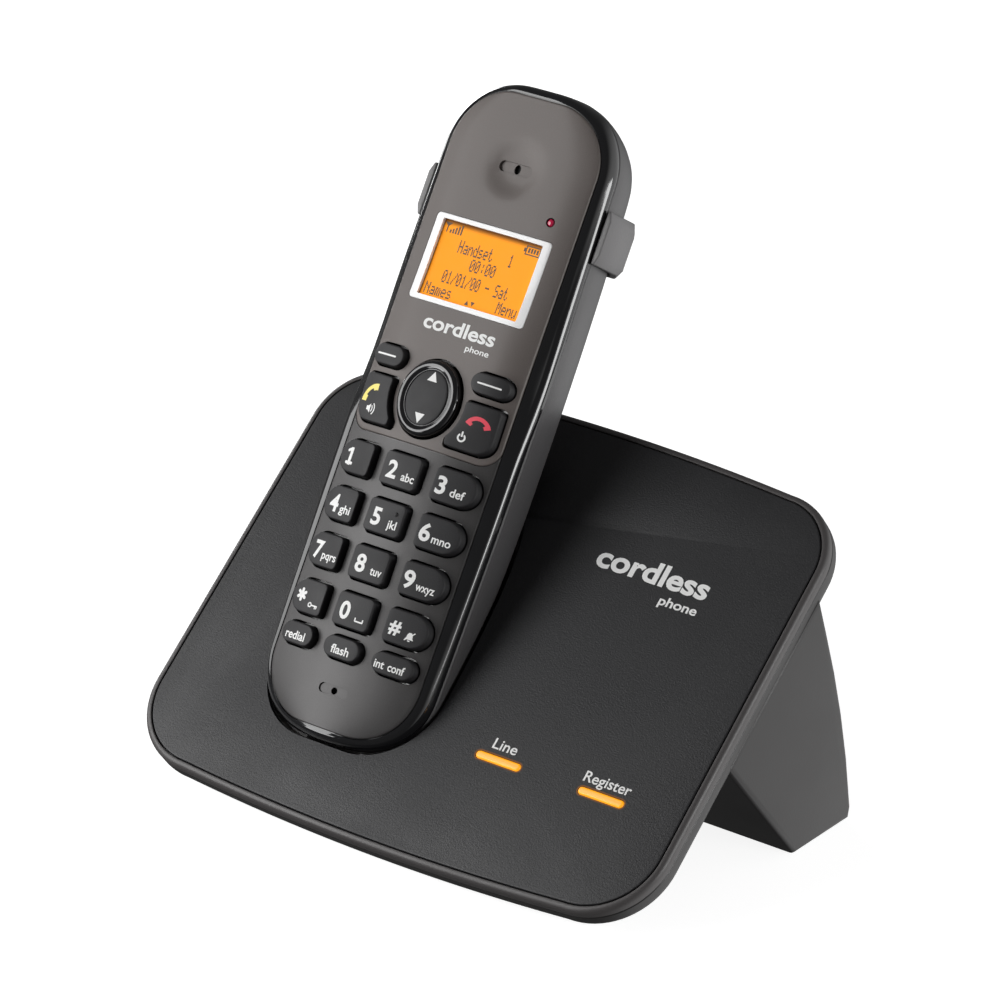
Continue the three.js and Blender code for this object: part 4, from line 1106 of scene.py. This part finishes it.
def bell_mark(x, y):
    """A bell struck through."""
    side = [Vector(p) for p in ((0.3, 0.9), (0.65, 0.4), (0.75, -0.3), (1.05, -0.75))]
    bell = mark([p + Vector((x, y)) for p in mirrored(side) + side][::-1])
    return [bell, bar(x, y, 3.1, 0.26, 45), bar(x, y - 1.05, 0.6, 0.3)]


def speaker_mark(x, y):
    outline = [(-1.2, -0.5), (-0.65, -0.5), (0.05, -1.1), (0.05, 1.1), (-0.65, 0.5), (-1.2, 0.5)]
    cone = polygon(*((x + u, y + v) for u, v in outline))
    return [cone, band(x - 0.3, y, 1.15, 0.3, -48, 48), band(x - 0.3, y, 1.9, 0.32, -48, 48)]


def power_mark(x, y):
    return [band(x, y, 1.05, 0.42, 125, 415, 20), bar(x, y + 0.85, 1.35, 0.42, 90)]


def make_key_legends():
    prints = {}
    for row, names in enumerate(ROWS):
        for column, name in enumerate(names):
            foot = PAD["row_top"] - row * PAD["pitch"] - 2.2
            x = DIGIT_X[column]
            if name == "star":
                prints[name] = star_mark(x - 0.4, foot + 2.2) + lock_mark(-11.9, foot + 0.4)
                continue
            if name == "hash":
                prints[name] = [lettering("#", x + 0.5, foot + 0.5, 3.3, bold=0.14)]
                continue
            prints[name] = [lettering(name, x, foot, 4.2, bold=0.16)]
            if name == "1":
                prints[name] += [bar(x, foot + 0.36, 2.5, 0.72), bar(x - 0.7, foot + 3.45, 1.5, 0.66, 30)]
            if name in LETTERS:
                letters = LETTERS[name]
                width = LETTER_WIDTH.get(letters, 3.5)
                prints[name].append(lettering(letters, LETTER_X[column], foot + 0.05, 2.05, width, 0.045))
    prints["0"] += space_mark(2.4, PAD["row_top"] - 3 * PAD["pitch"] - 2.0)
    prints["hash"] += bell_mark(15.8, PAD["row_top"] - 3 * PAD["pitch"] - 1.3)
    for name, words in SMALL_KEY_WORDS.items():
        prints[name] = [lettering(*word, 0.05) for word in words]
    for name, pieces in prints.items():
        drape(f"key_{name}_legend", pieces, key_top, f"key_{name}")
    for name, x in (("softkey_left", -15.1), ("softkey_right", 14.7)):
        drape(f"{name}_dash", [bar(x, 88, 6.1, 0.42)], key_top, name)
    receiver_sign = [receiver(-13.9, 76.1, 4.75, 92, 178)]
    drape("talk_key_receiver", receiver_sign, key_top, "talk_key", YELLOW, "light_pipe")
    drape("talk_key_speaker", speaker_mark(-14.9, 74.8), key_top, "talk_key")
    receiver_sign = [receiver(15.1, 77.1, 3.35, 22, 158)]
    drape("end_key_receiver", receiver_sign, key_top, "end_key", RED, "led_lens")
    drape("end_key_power", power_mark(12.2, 74.6), key_top, "end_key")
    arrows = [polygon((-1.35, 85), (1.35, 85), (0, 87.4)), polygon((-1.35, 77.1), (0, 74.7), (1.35, 77.1))]
    drape("nav_arrows", arrows, lambda x, y: face_height(x, y) + nav_disc_lift(x, y), "nav_key")


def make_words():
    face_words = [("cordless", 1.0, 96.9, 3.5, 20.4, 0.12), ("phone", 7.6, 94.2, 1.5, 6.6, 0.03)]
    drape("handset_words", [lettering(*words) for words in face_words], faceplate_height, "handset")
    base_words = [
        ("cordless", 34.2, 78.4, 5.6, 31, 0.22), ("phone", 44.2, 74, 2.4, 10.4, 0.07),
        ("Line", 21.9, 27.9, 2.75, 6.6, 0.04), ("Register", 50.6, 27.8, 2.75, 12.8, 0.04),
    ]
    drape("base_words", [lettering(*words) for words in base_words], lambda x, y: 0, "base", matrix=PLATE)


# A dot font, five dots wide and seven high, each row from left to right.
DOTS = {
    "H": "#...# #...# #...# ##### #...# #...# #...#", "a": "..... ..... .###. ....# .#### #...# .####",
    "n": "..... ..... #.##. ##..# #...# #...# #...#", "d": "....# ....# .##.# #..## #...# #...# .####",
    "s": "..... ..... .###. #.... .###. ....# ####.", "e": "..... ..... .###. #...# ##### #.... .###.",
    "t": ".#... .#... ###.. .#... .#... .#..# ..##.", "1": "..#.. .##.. ..#.. ..#.. ..#.. ..#.. .###.",
    "0": ".###. #...# #..## #.#.# ##..# #...# .###.", ":": "..... ..#.. ..#.. ..... ..#.. ..#.. .....",
    "/": "....# ....# ...#. ..#.. .#... #.... #....", "-": "..... ..... ..... ##### ..... ..... .....",
    "S": ".#### #.... #.... .###. ....# ....# ####.", "N": "#...# ##..# #.#.# #..## #...# #...# #...#",
    "m": "..... ..... ##.#. #.#.# #.#.# #.#.# #.#.#", "M": "#...# ##.## #.#.# #.#.# #...# #...# #...#",
    "u": "..... ..... #...# #...# #...# #..## .##.#", " ": "..... ..... ..... ..... ..... ..... .....",
}
LCD_LINES = [  # words, left, right, low, height
    ("Handset   1", -8.2, 7.4, 115.9, 3.1), ("00:00", -3.5, 3.7, 112.4, 3.0),
    ("01/01/00 - Sat", -9.7, 9.2, 108.2, 3.1),
    ("Names", -13.3, -5.6, 104.7, 2.9), ("Menu", 7.5, 13.1, 104.7, 2.9),
]
BATTERY_SIGN = [  # left, right, low, high
    (9.6, 13.8, 121.9, 122.2), (9.6, 13.8, 119.9, 120.2), (9.6, 9.9, 120.2, 121.9),
    (13.5, 13.8, 120.2, 121.9), (9.1, 9.6, 120.6, 121.5),
]


def lcd_box(left, right, low, high):
    return polygon((left, low), (right, low), (right, high), (left, high))


def dotted(words, left, right, low, height):
    """Words in the dot font, one box for each run of dots."""
    pitch = (right - left) / (6 * len(words) - 1)
    rise = height / 7
    boxes = []
    for place_in_line, letter in enumerate(words):
        for row, dots in enumerate(DOTS[letter].split()):
            y = low + (6 - row) * rise
            column = 0
            while column < len(dots):
                run = len(dots[column:]) - len(dots[column:].lstrip("#"))
                if run:
                    x = left + (6 * place_in_line + column) * pitch
                    boxes.append(lcd_box(x, x + pitch * (run + 0.02), y, y + rise * 0.92))
                column += max(run, 1)
    return boxes


def make_lcd_words():
    boxes = [piece for line in LCD_LINES for piece in dotted(*line)]
    boxes += [polygon((-14.0, 122.3), (-11.9, 122.3), (-12.95, 121.2)), lcd_box(-13.1, -12.8, 119.9, 121.4)]
    boxes += [lcd_box(-12.1 + 0.75 * k, -11.7 + 0.75 * k, 119.9, 120.7 + 0.4 * k) for k in range(5)]
    boxes += [lcd_box(*edges) for edges in BATTERY_SIGN]
    boxes += [lcd_box(10.3 + 0.8 * k, 10.8 + 0.8 * k, 120.5, 121.6) for k in range(4)]
    boxes.append(polygon((-1.3, 104.6), (-0.2, 104.6), (-0.75, 105.7)))
    boxes.append(polygon((0.3, 105.7), (0.85, 104.6), (1.4, 105.7)))
    drape("lcd_words", boxes, lcd_height, "handset", INK, "lcd_screen")


# ---------------------------------------------------------------- stage
FLOOR_HALF = 4
FLOOR_GLOW = 0.88
GLOW_SIDE = (0.79, 0.53, -0.32)  # the pale side of the surroundings
GLOW_RANGE = (0.3, 0.9, 0.1, 1.2)  # from and to, in the terms of a map range node
LIGHTS = [  # name, spot, target, size, watts
    ("front_box", (-0.46, -0.5, 0.4), (0, 0, 0.05), (0.55, 0.5), 4.3),
    ("left_strip", (-0.78, -0.16, 0.3), (0, 0, 0.08), (0.34, 0.5), 1.2),
    ("right_strip", (0.8, 0.08, 0.15), (0, 0, 0.1), (0.4, 0.2), 2.0),
    ("front_strip", (-0.45, -0.72, 0.1), (0, 0, 0.05), (0.5, 0.15), 1.5),
    ("rear_strip", (-0.68, 0.42, 0.1), (0, 0, 0.04), (0.4, 0.15), 1.6),
]
SENSOR, LENS = 36, 186.9
AIM = (0.61, 50, 73.41)  # in the table frame
AZIMUTH, ELEVATION, CAMERA_DISTANCE = 36.13, 26.32, 1.2


def make_stage():
    bpy.context.scene.view_settings.view_transform = "Standard"
    far = FLOOR_HALF
    floor = raw("floor", [(-far, -far, 0), (far, -far, 0), (far, far, 0), (-far, far, 0)], [(0, 1, 2, 3)])
    pale = material("floor_white", (0.5, 0.5, 0.5), 0.8, emission=(1, 1, 1), strength=FLOOR_GLOW)
    floor.data.materials.append(pale)
    floor.visible_diffuse = False
    floor.visible_glossy = False
    world = bpy.data.worlds.new("studio")
    bpy.context.scene.world = world
    world.use_nodes = True
    tree = world.node_tree
    facing = node(tree, "ShaderNodeVectorMath", operation="DOT_PRODUCT")
    facing.inputs[1].default_value = GLOW_SIDE
    tree.links.new(node(tree, "ShaderNodeTexCoord").outputs["Generated"], facing.inputs[0])
    glow = node(tree, "ShaderNodeMapRange", interpolation_type="SMOOTHSTEP")
    set_range(glow, *GLOW_RANGE)
    tree.links.new(facing.outputs["Value"], glow.inputs["Value"])
    tree.links.new(glow.outputs["Result"], tree.nodes["Background"].inputs["Strength"])
    tree.nodes["Background"].inputs["Color"].default_value = (1, 1, 1, 1)


def soft_light(name, spot, target, size, power):
    lamp = bpy.data.lights.new(name, "AREA")
    lamp.shape = "RECTANGLE"
    lamp.size, lamp.size_y = size
    lamp.energy = power
    made = bpy.data.objects.new(name, lamp)
    bpy.context.scene.collection.objects.link(made)
    made.location = spot
    made.rotation_mode = "QUATERNION"
    made.rotation_quaternion = (Vector(target) - Vector(spot)).to_track_quat("-Z", "Y")


def make_camera():
    lens = bpy.data.cameras.new("camera")
    lens.sensor_width = SENSOR
    lens.lens = LENS
    made = bpy.data.objects.new("camera", lens)
    bpy.context.scene.collection.objects.link(made)
    aim = TABLE @ Vector(AIM)
    azimuth, elevation = math.radians(AZIMUTH), math.radians(ELEVATION)
    level_back = Vector((math.sin(azimuth), -math.cos(azimuth), 0)) * math.cos(elevation)
    back = level_back + Vector((0, 0, math.sin(elevation)))
    made.location = aim + back * CAMERA_DISTANCE
    made.rotation_mode = "QUATERNION"
    made.rotation_quaternion = (-back).to_track_quat("-Z", "Y")
    bpy.context.scene.camera = made


make_camera()
make_stage()
for light in LIGHTS:
    soft_light(*light)
make_front_shell()
make_keypad_field()
make_faceplate()
make_display()
make_message_led()
make_back_shell()
make_battery_door()
make_keys()
make_navigation_key()
make_key_legends()
make_words()
make_belt_clip()
make_top_cover()
make_panel()
make_light_bars()
make_bottom_housing()
